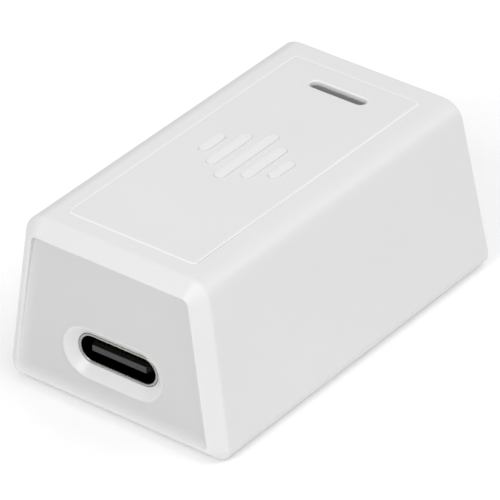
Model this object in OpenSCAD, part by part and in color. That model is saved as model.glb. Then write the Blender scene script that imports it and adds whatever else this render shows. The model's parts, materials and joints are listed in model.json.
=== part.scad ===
// Bluetooth audio receiver with a USB-C inlet at the front, an audio jack and a pairing button at the
// rear, and a status light in the top. X runs across the front, +Y points to the rear, +Z is up and the
// foot pad rests on Z = 0.

/* [Case] */
// Width of the case across its bottom rim
body_w = 25; // [24.5:0.5:34]
// Length of the case along its bottom rim
body_l = 41.5; // [41:0.5:56]
// Height of the case above its bottom rim
body_h = 17.9; // [16:0.1:26]
// Lean of the two long sides, in degrees
side_draft = 8; // [5:0.5:9]
// Lean of the rear face, in degrees
rear_draft = 7; // [4:0.5:8]
// Radius along the long top edges
top_fillet = 2.2; // [1.6:0.1:2.6]
// Radius along the long bottom edges
bottom_fillet = 1.4; // [1.2:0.1:1.8]
// Thickness of the side and rear walls
wall = 1.2; // [1:0.05:1.45]
// Thickness of the top wall, with the inlay pocket in it
top_wall = 1.6; // [1.4:0.1:2]
// Clearance around pieces that drop into the case
fit = 0.08; // [0.05:0.01:0.12]

/* [Front face] */
// Depth of the 45 degree chamfer around the front face
face_chamfer = 1.35; // [1:0.05:1.4]
// Width of the flat lip inside the chamfer
face_lip = 0.25; // [0.2:0.05:0.5]
// Depth of the front panel below the lip
panel_recess = 0.5; // [0.3:0.05:0.8]
// Thickness of the front panel
panel_t = 1.2; // [1:0.1:1.6]
// Depth of the funnel around the USB-C mouth
funnel_depth = 0.7; // [0.4:0.05:0.9]
// How far the funnel spreads beyond the USB-C shell
funnel_spread = 1; // [0.6:0.05:1.2]

/* [Top inlay] */
// Width of the inlay plate
inlay_w = 14.24; // [12:0.1:14.6]
// Thickness of the inlay plate
inlay_t = 0.8; // [0.6:0.05:0.95]
// Thickness of the adhesive under the inlay
glue_t = 0.1; // [0.05:0.01:0.15]
// Width of the groove around the inlay
inlay_gap = 0.12; // [0.08:0.01:0.2]
// Distance from the front face to the inlay
inlay_front = 3.23; // [2.5:0.1:5]
// Distance from the rear top edge to the inlay
inlay_rear = 2.27; // [1.8:0.1:5]
// Height of the raised symbol on the inlay
relief = 0.15; // [0.1:0.05:0.3]

/* [Status light] */
// Length of the light slot
slot_l = 6.2; // [5:0.1:8]
// Width of the light slot
slot_w = 1.2; // [1:0.1:1.6]
// Distance from the rear edge of the inlay to the middle of the slot
slot_inset = 3.05; // [2.6:0.05:4]
// Depth of the lens below the top face
lens_depth = 0.2; // [0.2:0.05:0.6]
// Thickness of the lens flange under the top wall
lens_flange = 0.7; // [0.5:0.1:1]
// Where the light source stands across the board
led_x = 1.2; // [1.1:0.1:1.4]

/* [Underside] */
// Thickness of the bottom cover
cover_t = 1.5; // [1.4:0.1:2]
// Thickness of the foot pad
pad_t = 0.8; // [0.6:0.1:0.9]
// How far the foot pad stands out below the case
pad_proud = 0.15; // [0.1:0.05:0.4]
// Radius of the screw posts inside the case
post_r = 1.4; // [1.3:0.05:1.6]
// Gap between the lower end of a post and the case rim
post_z = 2.1; // [1.9:0.1:2.4]

/* [Circuit board] */
// Height of the USB-C inlet above the bottom rim
inlet_z = 6.12; // [5.7:0.02:6.6]
// Thickness of the circuit board
board_t = 0.8; // [0.6:0.1:1.2]
// Gap between the board and the side walls
board_gap = 0.5; // [0.3:0.1:1]
// Distance that the USB-C mouth overhangs the board
inlet_overhang = 1.4; // [1:0.1:1.6]

/* [Audio jack] */
// Where the jack sits across the case
jack_x = -3.9; // [-4.2:0.1:-3.8]
// Height of the jack axis above the board
jack_rise = 2.6; // [2.5:0.1:3]
// Length of the jack body
jack_l = 12; // [11.5:0.1:13]
// Width of the jack body
jack_w = 6; // [5.6:0.1:6]
// Radius of the metal bushing
bushing_r = 2.6; // [2.4:0.05:2.8]
// Radius of the hole for the plug
plug_r = 1.8; // [1.75:0.05:1.85]
// Depth of the hole for the plug, measured from the bushing's end
plug_depth = 14; // [13.8:0.1:14.4]

/* [Pairing button] */
// Where the button sits across the case
button_x = 4.7; // [4.6:0.1:5]
// Radius of the button cap
button_r = 1.9; // [1.6:0.1:2]
// Clearance around the button cap
button_gap = 0.15; // [0.1:0.05:0.25]
// Distance that the button travels
button_travel = 0.25; // [0.15:0.05:0.3]
// Thickness of the rear panel's flange
flange_t = 0.8; // [0.6:0.1:1]

/* [Hidden] */
$fn = 48;

// A cut runs this far past the face that it opens
eps = 0.5;

// Heights
rim_z = pad_proud;
top_z = rim_z + body_h;
ceiling_z = top_z - top_wall;
inlet_axis_z = rim_z + inlet_z;

// Leans as slopes, and how much a lean stretches a wall that is cut level
side_slope = tan(side_draft);
rear_slope = tan(rear_draft);
side_wall = wall / cos(side_draft);
rear_wall = wall / cos(rear_draft);
function half_w(z) = body_w / 2 - (z - rim_z) * side_slope;
function rear_y(z) = body_l / 2 - (z - rim_z) * rear_slope;
front_y = -body_l / 2;

// Front panel
panel_y = front_y + panel_recess;
panel_back_y = panel_y + panel_t;
sill_l = 0.5;
sill_y = panel_back_y + sill_l;

// USB-C receptacle, with the standard's own sizes
usb_w = 8.94;
usb_h = 3.16;
usb_l = 7.35;
usb_shell_t = 0.3;
usb_r = usb_h / 2;
usb_cx = usb_w / 2 - usb_r;
usb_gap = 0.1;
usb_y = panel_y + funnel_depth;
usb_back_y = usb_y + usb_l;
tongue_w = 6.69;
tongue_t = 0.64;
tongue_y = usb_y + 0.2;
tongue_l = 5.3;
insulator_y = tongue_y + tongue_l;
mid_plate_t = 0.15;
contact_t = 0.03;
contact_w = 0.28;
contact_pitch = 0.5;
contacts_per_row = 12;
solder_gap = 0.04;
leg_t = 0.3;
leg_l = 1.2;
leg_ys = [usb_y + 3, usb_y + 6];

// Board
board_top = inlet_axis_z - usb_r - solder_gap;
board_bottom = board_top - board_t;
board_front_y = usb_y + inlet_overhang;
board_half_w = half_w(board_top) - side_wall - board_gap;

// Jack and button heights, and where the rear panel leaves off inside
rear_axis_z = board_top + jack_rise;
jack_h = 2 * jack_rise;
jack_top_z = board_top + jack_h;
panel_inner_gap = 0.2;
function rear_inner_y(z) = rear_y(z) - rear_wall - flange_t / cos(rear_draft);
jack_rear_y = rear_inner_y(jack_top_z) - panel_inner_gap;
jack_front_y = jack_rear_y - jack_l;
bushing_y = rear_y(rim_z) - 0.12;
board_rear_y = jack_rear_y + 0.1;
plug_end_y = bushing_y - plug_depth;
bushing_lap = 1.2;
bushing_start_y = jack_rear_y - bushing_lap;
neck_r = bushing_r - 0.3;
sleeve_r = plug_r + 0.22;
sleeve_y = bushing_start_y + 0.2;
sleeve_l = 1.6;
jack_pin_r = 0.35;
jack_pin_h = 0.6;
spring_w = 1.2;
spring_t = 0.2;
spring_gap = 0.12;
spring_side = plug_r + spring_gap / 2;
// Side of the plug, start and end of each spring
tip_spring = [1, plug_end_y + 1.2, plug_end_y + 5.2];
ring_spring = [-1, plug_end_y + 3.5, plug_end_y + 7.5];

// Screw posts
post_merge = 0.9;
post_jack_gap = 0.1;
post_wall_x = half_w(ceiling_z) - side_wall - post_r + post_merge;
post_x = max(post_wall_x, jack_w / 2 - jack_x + post_r + post_jack_gap);
post_front_y = panel_back_y + 2.85;
post_rear_y = rear_y(ceiling_z) - rear_wall - post_r - 1;
post_ys = [post_front_y, post_rear_y];
post_bottom_z = rim_z + post_z;
case_screw_r = 0.6;
case_screw_l = 5;
case_head_r = 1.4;
case_head_h = 0.6;
web_t = 0.8;

// Bottom cover and pad
cover_y = sill_y + fit;
cover_end_y = rear_y(rim_z + cover_t) - rear_wall - fit;
pocket_z = pad_t;
pad_margin = 0.5;
pad_fit = 0.1;
pad_x = post_x + case_head_r + pad_margin;
pad_y = post_front_y - case_head_r - pad_margin;
pad_end_y = post_rear_y + case_head_r + pad_margin;
pad_mid_y = (pad_y + pad_end_y) / 2;
pad_len = pad_end_y - pad_y;
pad_corner = 2;
head_seat_z = pocket_z + case_head_h + 0.1;

// Board screws
screw_inset = 1.5;
board_screw_x = board_half_w - screw_inset;
board_screw_front_y = board_front_y + 9.2;
board_screw_rear_y = board_rear_y - 8.3;
board_screw_ys = [board_screw_front_y, board_screw_rear_y];
board_screw_r = 0.5;
board_screw_l = 2.7;
board_head_r = 1.15;
board_head_h = 0.5;
pillar_r = 1.3;
tongue_half_w = post_x - post_r - 0.2;
notch_l = 1.7;

// Inlay
inlay_y = front_y + inlay_front;
inlay_end_y = rear_y(top_z) - inlay_rear;
inlay_len = inlay_end_y - inlay_y;
inlay_mid_y = (inlay_y + inlay_end_y) / 2;
inlay_corner = 0.5;
inlay_bottom_z = top_z - inlay_t;
pocket_floor_z = inlay_bottom_z - glue_t;
glue_inset = 0.6;
slot_y = inlay_end_y - slot_inset;
lens_fit = 0.1;
flange_margin = 0.7;

// Light guide
led_w = 1.6;
led_d = 0.8;
led_h = 0.6;
guide_t = 1.6;
guide_foot_w = 2.4;
guide_foot_d = 2.6;
guide_foot_h = 1.1;
guide_waist_z = jack_top_z + 0.8;
guide_top_w = slot_l - 0.4;
guide_top_z = ceiling_z - lens_flange;
led_gap = 0.15;

// Switch, from its front to the button cap
cap_flange_r = 2.4;
cap_flange_t = 0.6;
cap_seat_y = rear_inner_y(rear_axis_z + cap_flange_r) - 0.1;
cap_front_y = cap_seat_y - cap_flange_t;
cap_end_y = rear_y(rim_z) - 0.3;
collar_t = 0.7;
collar_y = cap_end_y - button_travel - 0.2;
switch_w = 3.6;
switch_d = 2.4;
switch_h = 2 * jack_rise - 1;
switch_cover_t = 0.15;
plunger_out = button_travel + 0.6;
plunger_r = 0.8;
plunger_head_r = 1.15;
plunger_head_t = 0.5;
plunger_top_gap = 0.1;
dome_r = 1.3;
dome_rise = 0.32;
dome_t = 0.08;
dome_gap = button_travel + 0.05;
switch_face_y = cap_front_y - plunger_out;
switch_rear_y = switch_face_y - switch_cover_t;
switch_y = switch_rear_y - switch_d;
switch_well_r = dome_r + 0.1;
switch_well_d = plunger_top_gap + plunger_head_t + dome_gap + dome_rise;

// Rear panel, measured along the leaning face
rear_recess = 0.4;
window_w = 2 * (post_x + 0.2);
window_z = 2.4;
window_h = rear_axis_z - rim_z + bushing_r + 1.6 - window_z;
window_corner = 1.2;
flange_lap = 0.9;
jack_hole_gap = 0.12;

// Shield can over the radio
can_w = 11;
can_d = 9;
can_h = 1.9;
can_t = 0.15;
frame_h = 0.9;
can_y = (usb_back_y + jack_front_y) / 2 + 0.5;

// Converter behind the shield can, and regulator behind the USB-C receptacle
dac_w = 4.4;
dac_d = 4.4;
dac_x = tongue_half_w - dac_w / 2 - 1.6;
dac_y = slot_y - guide_foot_d / 2 - dac_d / 2 - 0.6;
regulator_w = 1.6;
regulator_d = 2.9;
regulator_x = -(usb_w / 2 + 1.5);
regulator_y = usb_back_y + 1.4;

// ---------------------------------------------------------------- shared shapes

// Section of the case across its length, drawn in XZ and moved inwards by inset
module case_section(inset = 0) {
    rt = max(top_fillet - inset, 0.05);
    rb = max(bottom_fillet - inset, 0.05);
    zt = top_z - inset - rt;
    zb = rim_z + inset + rb;
    xt = half_w(zt) - (inset + rt) / cos(side_draft);
    xb = half_w(zb) - (inset + rb) / cos(side_draft);
    sx = cos(side_draft);
    sz = sin(side_draft);
    for (side = [-1, 1]) {
        translate([side * xt, zt])
            circle(r = rt);
        translate([side * xb, zb])
            circle(r = rb);
    }
    polygon([
        [-xb, zb - rb], [xb, zb - rb], [xb + rb * sx, zb + rb * sz], [xt + rt * sx, zt + rt * sz],
        [xt, zt + rt], [-xt, zt + rt], [-xt - rt * sx, zt + rt * sz], [-xb - rb * sx, zb + rb * sz]
    ]);
}

// Extrudes an XZ drawing from y0 to y1
module along_y(y0, y1) {
    translate([0, y1, 0])
        rotate([90, 0, 0])
            linear_extrude(y1 - y0)
                children();
}

// Extrudes a YZ drawing from x0 to x1
module along_x(x0, x1) {
    translate([x0, 0, 0])
        rotate([90, 0, 90])
            linear_extrude(x1 - x0)
                children();
}

// Cylinder along Y from y0 to y1
module rod_y(x, z, r, y0, y1) {
    translate([x, y0, z])
        rotate([-90, 0, 0])
            cylinder(r = r, h = y1 - y0);
}

// Slot shape along Z, long in X
module stadium_z(l, w, h) {
    for (side = [-1, 1])
        translate([side * (l - w) / 2, 0, 0])
            cylinder(r = w / 2, h = h);
    translate([-(l - w) / 2, -w / 2, 0])
        cube([l - w, w, h]);
}

// Slot shape along Y around the USB-C axis, whose radius goes from r0 at y0 to r1 at y1
module usb_slot(y0, y1, r0, r1) {
    translate([0, 0, inlet_axis_z]) {
        for (side = [-1, 1])
            translate([side * usb_cx, y0, 0])
                rotate([-90, 0, 0])
                    cylinder(r1 = r0, r2 = r1, h = y1 - y0);
        along_x(-usb_cx, usb_cx)
            polygon([[y0, -r0], [y1, -r1], [y1, r1], [y0, r0]]);
    }
}

// Plate with rounded corners, centred in X and Y
module rounded_plate(w, l, h, r) {
    for (sx = [-1, 1], sy = [-1, 1])
        translate([sx * (w / 2 - r), sy * (l / 2 - r), 0])
            cylinder(r = r, h = h);
    translate([-w / 2, -l / 2 + r, 0])
        cube([w, l - 2 * r, h]);
    translate([-w / 2 + r, -l / 2, 0])
        cube([w - 2 * r, l, h]);
}

// Block that stands on the board, centred at x and y
module chip(x, y, w, d, h, z = board_top) {
    translate([x - w / 2, y - d / 2, z])
        cube([w, d, h]);
}

// Places children in the leaning frame of the rear face: local Z climbs the face, local Y points out
module on_rear() {
    translate([0, body_l / 2, rim_z])
        rotate([rear_draft, 0, 0])
            children();
}

// Rounded plate that lies in the rear face's frame, from depth y0 to y1
module rear_plate(grow, y0, y1) {
    on_rear()
        translate([0, y1, window_z + window_h / 2])
            rotate([90, 0, 0])
                rounded_plate(window_w + 2 * grow, window_h + 2 * grow, y1 - y0, window_corner + grow);
}

// The case's outer form: one drafted prism, cut by the leaning rear face and by the front chamfers
module case_form() {
    intersection() {
        along_y(front_y, body_l / 2)
            case_section();
        along_x(-body_w, body_w)
            polygon([
                [front_y, rim_z + face_chamfer], [front_y + face_chamfer, rim_z],
                [rear_y(rim_z), rim_z], [rear_y(top_z), top_z],
                [front_y + face_chamfer, top_z], [front_y, top_z - face_chamfer]
            ]);
        chamfer_block(1);
        chamfer_block(-1);
    }
}

// Block that fills the space inside one side chamfer, turned about the chamfer's rear crease
module chamfer_block(side) {
    reach = body_l + body_w;
    translate([side * body_w / 2, front_y + face_chamfer, rim_z])
        rotate([0, -side * side_draft, 0])
            rotate([0, 0, -side * 45])
                translate([side > 0 ? -2 * reach : 0, -reach, -reach])
                    cube(2 * reach);
}

// ---------------------------------------------------------------- case

module upper_shell() {
    color([0.9, 0.9, 0.905])
        difference() {
            union() {
                difference() {
                    case_form();
                    shell_cavity();
                }
                intersection() {
                    case_form();
                    shell_posts();
                }
            }
            shell_openings();
            for (side = [-1, 1], y = post_ys)
                translate([side * post_x, y, post_bottom_z - eps])
                    cylinder(r = case_screw_r, h = case_screw_l + eps);
        }
}

// Space inside the walls, open underneath behind the front sill
module shell_cavity() {
    low_z = rim_z - eps;
    shoulder_z = ceiling_z - top_fillet;
    along_y(panel_y, panel_back_y + fit)
        case_section(wall);
    intersection() {
        union() {
            along_y(panel_y, body_l / 2)
                case_section(wall);
            along_y(sill_y, body_l / 2)
                polygon([
                    [-half_w(low_z) + side_wall, low_z], [half_w(low_z) - side_wall, low_z],
                    [half_w(shoulder_z) - side_wall, shoulder_z],
                    [-half_w(shoulder_z) + side_wall, shoulder_z]
                ]);
        }
        along_x(-body_w, body_w)
            polygon([
                [panel_y, low_z], [rear_y(low_z) - rear_wall, low_z],
                [rear_y(ceiling_z) - rear_wall, ceiling_z], [panel_y, ceiling_z]
            ]);
    }
}

// Mouth of the front face, rear window, inlay pocket and light slot
module shell_openings() {
    along_y(front_y - eps, panel_y + 0.01)
        case_section(face_chamfer + face_lip);
    rear_plate(0, -wall - eps, eps);
    translate([0, inlay_mid_y, pocket_floor_z])
        rounded_plate(
            inlay_w + 2 * inlay_gap, inlay_len + 2 * inlay_gap, inlay_t + glue_t + eps,
            inlay_corner + inlay_gap
        );
    translate([0, slot_y, ceiling_z - eps])
        stadium_z(slot_l, slot_w, top_wall);
}

// Screw posts from the top wall down, each with a web to the side wall
module shell_posts() {
    for (side = [-1, 1], y = post_ys) {
        translate([side * post_x, y, post_bottom_z])
            cylinder(r = post_r, h = ceiling_z - post_bottom_z + 0.2);
        translate([side > 0 ? post_x : -body_w / 2, y - web_t / 2, post_bottom_z])
            cube([body_w / 2 - post_x, web_t, ceiling_z - post_bottom_z]);
    }
}

module front_panel() {
    color([0.84, 0.84, 0.85])
        difference() {
            along_y(panel_y, panel_back_y)
                case_section(wall + fit);
            usb_slot(panel_y - 0.001, usb_y, usb_r + usb_gap + funnel_spread, usb_r + usb_gap);
            usb_slot(usb_y - 0.01, panel_back_y + eps, usb_r + usb_gap, usb_r + usb_gap);
        }
}

module top_inlay() {
    color([0.9, 0.9, 0.9])
        difference() {
            translate([0, inlay_mid_y, inlay_bottom_z])
                rounded_plate(inlay_w, inlay_len, inlay_t, inlay_corner);
            translate([0, slot_y, inlay_bottom_z - eps])
                stadium_z(slot_l, slot_w, inlay_t + 2 * eps);
        }
}

// Five level bars, a plain sign for sound
module inlay_symbol() {
    bar_w = 1.1;
    bar_pitch = 1.95;
    bar_lengths = [3.4, 6.2, 9, 6.2, 3.4];
    color([0.92, 0.92, 0.92])
        for (i = [0 : len(bar_lengths) - 1])
            translate([(i - 2) * bar_pitch, inlay_mid_y, top_z])
                rotate([0, 0, 90])
                    stadium_z(bar_lengths[i], bar_w, relief);
}

module inlay_adhesive() {
    color([0.75, 0.73, 0.65])
        difference() {
            translate([0, inlay_mid_y, pocket_floor_z])
                rounded_plate(inlay_w - 2 * glue_inset, inlay_len - 2 * glue_inset, glue_t, inlay_corner);
            translate([0, slot_y, pocket_floor_z - eps])
                stadium_z(slot_l + 0.6, slot_w + 0.6, glue_t + 2 * eps);
        }
}

module indicator_lens() {
    color([0.4, 0.4, 0.42])
        translate([0, slot_y, 0]) {
            translate([0, 0, guide_top_z])
                stadium_z(slot_l + 2 * flange_margin, slot_w + 2 * flange_margin, lens_flange);
            translate([0, 0, ceiling_z])
                stadium_z(slot_l - 2 * lens_fit, slot_w - 2 * lens_fit, top_wall - lens_depth);
        }
}

// Clear bar from the light source up to the lens, drawn in XZ, on a foot that straddles the source
module light_guide() {
    foot_l = led_x - guide_foot_w / 2;
    foot_r = led_x + guide_foot_w / 2;
    color([0.85, 0.9, 0.92])
        difference() {
            union() {
                along_y(slot_y - guide_t / 2, slot_y + guide_t / 2)
                    polygon([
                        [foot_l, board_top], [foot_r, board_top], [foot_r, guide_waist_z],
                        [guide_top_w / 2, guide_top_z - 1], [guide_top_w / 2, guide_top_z],
                        [-guide_top_w / 2, guide_top_z], [-guide_top_w / 2, guide_top_z - 1],
                        [foot_l, guide_waist_z]
                    ]);
                chip(led_x, slot_y, guide_foot_w, guide_foot_d, guide_foot_h);
            }
            translate([0, 0, -eps])
                chip(led_x, slot_y, led_w + 2 * led_gap, led_d + 2 * led_gap, led_h + led_gap + eps);
        }
}

module status_led() {
    cap_w = 0.3;
    lens_h = led_h - 0.2;
    color([0.95, 0.95, 0.85]) {
        chip(led_x, slot_y, led_w, led_d, led_h - lens_h);
        chip(led_x, slot_y, led_w - 2 * cap_w, led_d, lens_h, board_top + led_h - lens_h);
    }
}

// Insert in the leaning rear face, with a flange behind the wall and a round collar for the button.
// The flange's lower edge is cut level, clear of the bottom cover.
module rear_panel() {
    hole_r = button_r + button_gap;
    color([0.84, 0.84, 0.85])
        difference() {
            union() {
                rear_plate(-fit, -wall, -rear_recess);
                rear_plate(flange_lap, -wall - flange_t, -wall);
                intersection() {
                    rod_y(button_x, rear_axis_z, hole_r + collar_t, cap_seat_y, collar_y);
                    on_rear()
                        translate([-body_w / 2, -wall - flange_t / 2, 0])
                            cube([body_w, body_l, body_h]);
                }
            }
            rod_y(button_x, rear_axis_z, hole_r, cap_seat_y - eps, collar_y + eps);
            rod_y(jack_x, rear_axis_z, bushing_r + jack_hole_gap, jack_rear_y - eps, bushing_y + eps);
            translate([-body_w / 2, jack_rear_y, rim_z - eps])
                cube([body_w, body_l, cover_t + fit + eps]);
        }
}

module bottom_cover() {
    color([0.86, 0.86, 0.87])
        difference() {
            union() {
                along_y(cover_y, cover_end_y)
                    polygon([
                        [-half_w(rim_z) + side_wall + fit, rim_z], [half_w(rim_z) - side_wall - fit, rim_z],
                        [half_w(rim_z + cover_t) - side_wall - fit, rim_z + cover_t],
                        [-half_w(rim_z + cover_t) + side_wall + fit, rim_z + cover_t]
                    ]);
                for (side = [-1, 1], y = post_ys)
                    translate([side * post_x, y, rim_z])
                        cylinder(r = post_r, h = post_z);
                for (side = [-1, 1], y = board_screw_ys)
                    translate([side * board_screw_x, y, rim_z + pad_t])
                        cylinder(r = pillar_r, h = board_bottom - rim_z - pad_t);
            }
            translate([0, pad_mid_y, -eps])
                rounded_plate(
                    2 * (pad_x + pad_fit), pad_len + 2 * pad_fit, pocket_z + eps, pad_corner + pad_fit
                );
            for (side = [-1, 1], y = post_ys)
                translate([side * post_x, y, 0]) {
                    cylinder(r = case_head_r + 0.1, h = head_seat_z);
                    cylinder(r = case_screw_r + 0.1, h = post_bottom_z + eps);
                }
            for (side = [-1, 1], y = board_screw_ys)
                translate([side * board_screw_x, y, board_top - board_screw_l - 0.1])
                    cylinder(r = board_screw_r, h = board_screw_l);
        }
}

module foot_pad() {
    color([0.3, 0.3, 0.32])
        translate([0, pad_mid_y, 0])
            rounded_plate(2 * pad_x, pad_len, pad_t, pad_corner);
}

// Screw with a flat round head and a cross recess, head at the origin and shank along +Z
module screw(r, l, head_r, head_h) {
    recess_w = head_r * 0.3;
    recess_d = head_h * 0.6;
    difference() {
        union() {
            translate([0, 0, -head_h])
                cylinder(r = head_r, h = head_h);
            cylinder(r = r, h = l);
        }
        for (a = [0, 90])
            rotate([0, 0, a])
                translate([-head_r * 0.65, -recess_w / 2, -head_h - eps])
                    cube([head_r * 1.3, recess_w, recess_d + eps]);
    }
}

module case_screws() {
    color([0.6, 0.6, 0.62])
        for (side = [-1, 1], y = post_ys)
            translate([side * post_x, y, head_seat_z])
                screw(case_screw_r, case_screw_l, case_head_r, case_head_h);
}

// ---------------------------------------------------------------- circuit board

module circuit_board() {
    color([0.08, 0.3, 0.16])
        difference() {
            translate([-board_half_w, board_front_y, board_bottom])
                cube([2 * board_half_w, board_rear_y - board_front_y, board_t]);
            for (side = [-1, 1]) {
                board_notch(side, board_front_y - eps, post_front_y + notch_l);
                board_notch(side, post_rear_y - notch_l, board_rear_y + eps);
                for (y = board_screw_ys)
                    translate([side * board_screw_x, y, board_bottom - eps])
                        cylinder(r = board_screw_r + 0.1, h = board_t + 2 * eps);
                for (y = leg_ys)
                    translate([side * (usb_w / 2 - leg_t / 2), y, board_bottom - eps])
                        translate([-leg_t / 2 - 0.15, -leg_l / 2 - 0.15, 0])
                            cube([leg_t + 0.3, leg_l + 0.3, board_t + 2 * eps]);
            }
            for (pin = jack_pin_places())
                translate([pin[0], pin[1], board_bottom - eps])
                    cylinder(r = jack_pin_r + 0.1, h = board_t + 2 * eps);
        }
}

// Clears a screw post at one corner of the board
module board_notch(side, y0, y1) {
    translate([side > 0 ? tongue_half_w : -body_w / 2, y0, board_bottom - eps])
        cube([body_w / 2 - tongue_half_w, y1 - y0, board_t + 2 * eps]);
}

module board_screws() {
    color([0.7, 0.7, 0.7])
        for (side = [-1, 1], y = board_screw_ys)
            translate([side * board_screw_x, y, board_top])
                rotate([180, 0, 0])
                    screw(board_screw_r, board_screw_l, board_head_r, board_head_h);
}

// ---------------------------------------------------------------- USB-C receptacle

module usb_shell() {
    inner_r = usb_r - usb_shell_t;
    color([0.68, 0.68, 0.7]) {
        difference() {
            usb_slot(usb_y, usb_back_y, usb_r, usb_r);
            usb_slot(usb_y - eps, usb_back_y + eps, inner_r, inner_r);
        }
        for (side = [-1, 1], y = leg_ys)
            translate([side * (usb_w / 2 - leg_t / 2) - leg_t / 2, y - leg_l / 2, board_bottom])
                cube([leg_t, leg_l, inlet_axis_z - board_bottom]);
    }
}

module usb_insulator() {
    inner_r = usb_r - usb_shell_t - 0.02;
    color([0.1, 0.1, 0.11])
        usb_slot(insulator_y, usb_back_y, inner_r, inner_r);
}

// Two skins of the tongue, above and below the plate in its middle
module usb_tongue() {
    skin = (tongue_t - mid_plate_t) / 2;
    color([0.12, 0.12, 0.13])
        for (side = [-1, 1])
            translate([-tongue_w / 2, tongue_y, inlet_axis_z + side * (mid_plate_t + skin) / 2 - skin / 2])
                cube([tongue_w, tongue_l, skin]);
}

module usb_mid_plate() {
    color([0.7, 0.7, 0.7])
        translate([-tongue_w / 2, tongue_y + 0.15, inlet_axis_z - mid_plate_t / 2])
            cube([tongue_w, tongue_l - 0.15, mid_plate_t]);
}

module usb_contacts() {
    first_x = -contact_pitch * (contacts_per_row - 1) / 2;
    inset = 0.5;
    tail_l = 0.9;
    color([0.85, 0.68, 0.3])
        for (i = [0 : contacts_per_row - 1]) {
            x = first_x + i * contact_pitch - contact_w / 2;
            translate([x, tongue_y + inset, inlet_axis_z + tongue_t / 2])
                cube([contact_w, tongue_l - inset, contact_t]);
            translate([x, tongue_y + inset, inlet_axis_z - tongue_t / 2 - contact_t])
                cube([contact_w, tongue_l - inset, contact_t]);
            translate([x, usb_back_y, board_top])
                cube([contact_w, tail_l, 0.15]);
        }
}

// ---------------------------------------------------------------- audio jack

function jack_pin_places() = [
    [jack_x - jack_w / 2 + 0.6, jack_rear_y - 2], [jack_x + jack_w / 2 - 0.6, jack_rear_y - 4.5],
    [jack_x - jack_w / 2 + 0.6, jack_rear_y - 7.5], [jack_x + jack_w / 2 - 0.6, jack_rear_y - 10.5]
];

// Slot in the jack body for one spring, beside the hole for the plug
module spring_slot(side, y0, y1, grow) {
    x = side > 0 ? jack_x + spring_side - grow : jack_x - spring_side - spring_t - grow;
    translate([x, y0 - grow, rear_axis_z - spring_w / 2 - grow])
        cube([spring_t + 2 * grow, y1 - y0 + 2 * grow, spring_w + 2 * grow]);
}

module jack_body() {
    color([0.09, 0.09, 0.1])
        difference() {
            translate([jack_x - jack_w / 2, jack_front_y, board_top])
                cube([jack_w, jack_l, jack_h]);
            rod_y(jack_x, rear_axis_z, plug_r, plug_end_y, jack_rear_y + eps);
            rod_y(jack_x, rear_axis_z, neck_r, bushing_start_y, jack_rear_y + eps);
            spring_slot(tip_spring[0], tip_spring[1], tip_spring[2], spring_gap);
            spring_slot(ring_spring[0], ring_spring[1], ring_spring[2], spring_gap);
            for (pin = jack_pin_places())
                translate([pin[0], pin[1], board_top - eps])
                    cylinder(r = jack_pin_r + 0.02, h = jack_pin_h + eps);
        }
}

module jack_bushing() {
    color([0.72, 0.72, 0.74])
        difference() {
            union() {
                rod_y(jack_x, rear_axis_z, neck_r, bushing_start_y, jack_rear_y);
                rod_y(jack_x, rear_axis_z, bushing_r, jack_rear_y, bushing_y);
            }
            rod_y(jack_x, rear_axis_z, plug_r, bushing_start_y - eps, bushing_y + eps);
            rod_y(jack_x, rear_axis_z, sleeve_r, sleeve_y, sleeve_y + sleeve_l);
        }
}

module jack_sleeve_contact() {
    slack = 0.02;
    color([0.8, 0.65, 0.35])
        difference() {
            rod_y(jack_x, rear_axis_z, sleeve_r - slack, sleeve_y + slack, sleeve_y + sleeve_l - slack);
            rod_y(jack_x, rear_axis_z, plug_r + 2 * slack, sleeve_y - eps, sleeve_y + sleeve_l + eps);
        }
}

module jack_tip_spring() {
    color([0.8, 0.65, 0.35])
        spring_slot(tip_spring[0], tip_spring[1], tip_spring[2], 0);
}

module jack_ring_spring() {
    color([0.8, 0.65, 0.35])
        spring_slot(ring_spring[0], ring_spring[1], ring_spring[2], 0);
}

module jack_pins() {
    color([0.8, 0.8, 0.8])
        for (pin = jack_pin_places())
            translate([pin[0], pin[1], board_bottom - 0.3])
                cylinder(r = jack_pin_r, h = board_t + 0.3 + jack_pin_h - 0.05);
}

// ---------------------------------------------------------------- pairing button

// Round cap with a dished end, and a flange that keeps it in the case
module pairing_button() {
    dish_r = 9;
    dish_depth = 0.12;
    color([0.8, 0.8, 0.81])
        difference() {
            union() {
                rod_y(button_x, rear_axis_z, cap_flange_r, cap_front_y, cap_seat_y);
                rod_y(button_x, rear_axis_z, button_r, cap_front_y, cap_end_y);
            }
            translate([button_x, cap_end_y + dish_r - dish_depth, rear_axis_z])
                sphere(r = dish_r, $fn = 96);
        }
}

module switch_base() {
    color([0.12, 0.12, 0.12])
        difference() {
            chip(button_x, (switch_y + switch_rear_y) / 2, switch_w - 0.3, switch_d, switch_h);
            rod_y(button_x, rear_axis_z, switch_well_r, switch_rear_y - switch_well_d, switch_rear_y + eps);
        }
}

// Bent metal plate over the plunger, with two arms along the sides of the base
module switch_cover() {
    arm_h = 1.6;
    color([0.75, 0.75, 0.77])
        difference() {
            union() {
                chip(button_x, (switch_rear_y + switch_face_y) / 2, switch_w, switch_cover_t, switch_h);
                for (side = [-1, 1])
                    translate([0, 0, rear_axis_z - arm_h / 2 - board_top])
                        chip(
                            button_x + side * (switch_w / 2 - 0.075), (switch_y + switch_rear_y) / 2, 0.15,
                            switch_d, arm_h
                        );
            }
            rod_y(button_x, rear_axis_z, plunger_r + 0.12, switch_rear_y - eps, switch_face_y + eps);
        }
}

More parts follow.
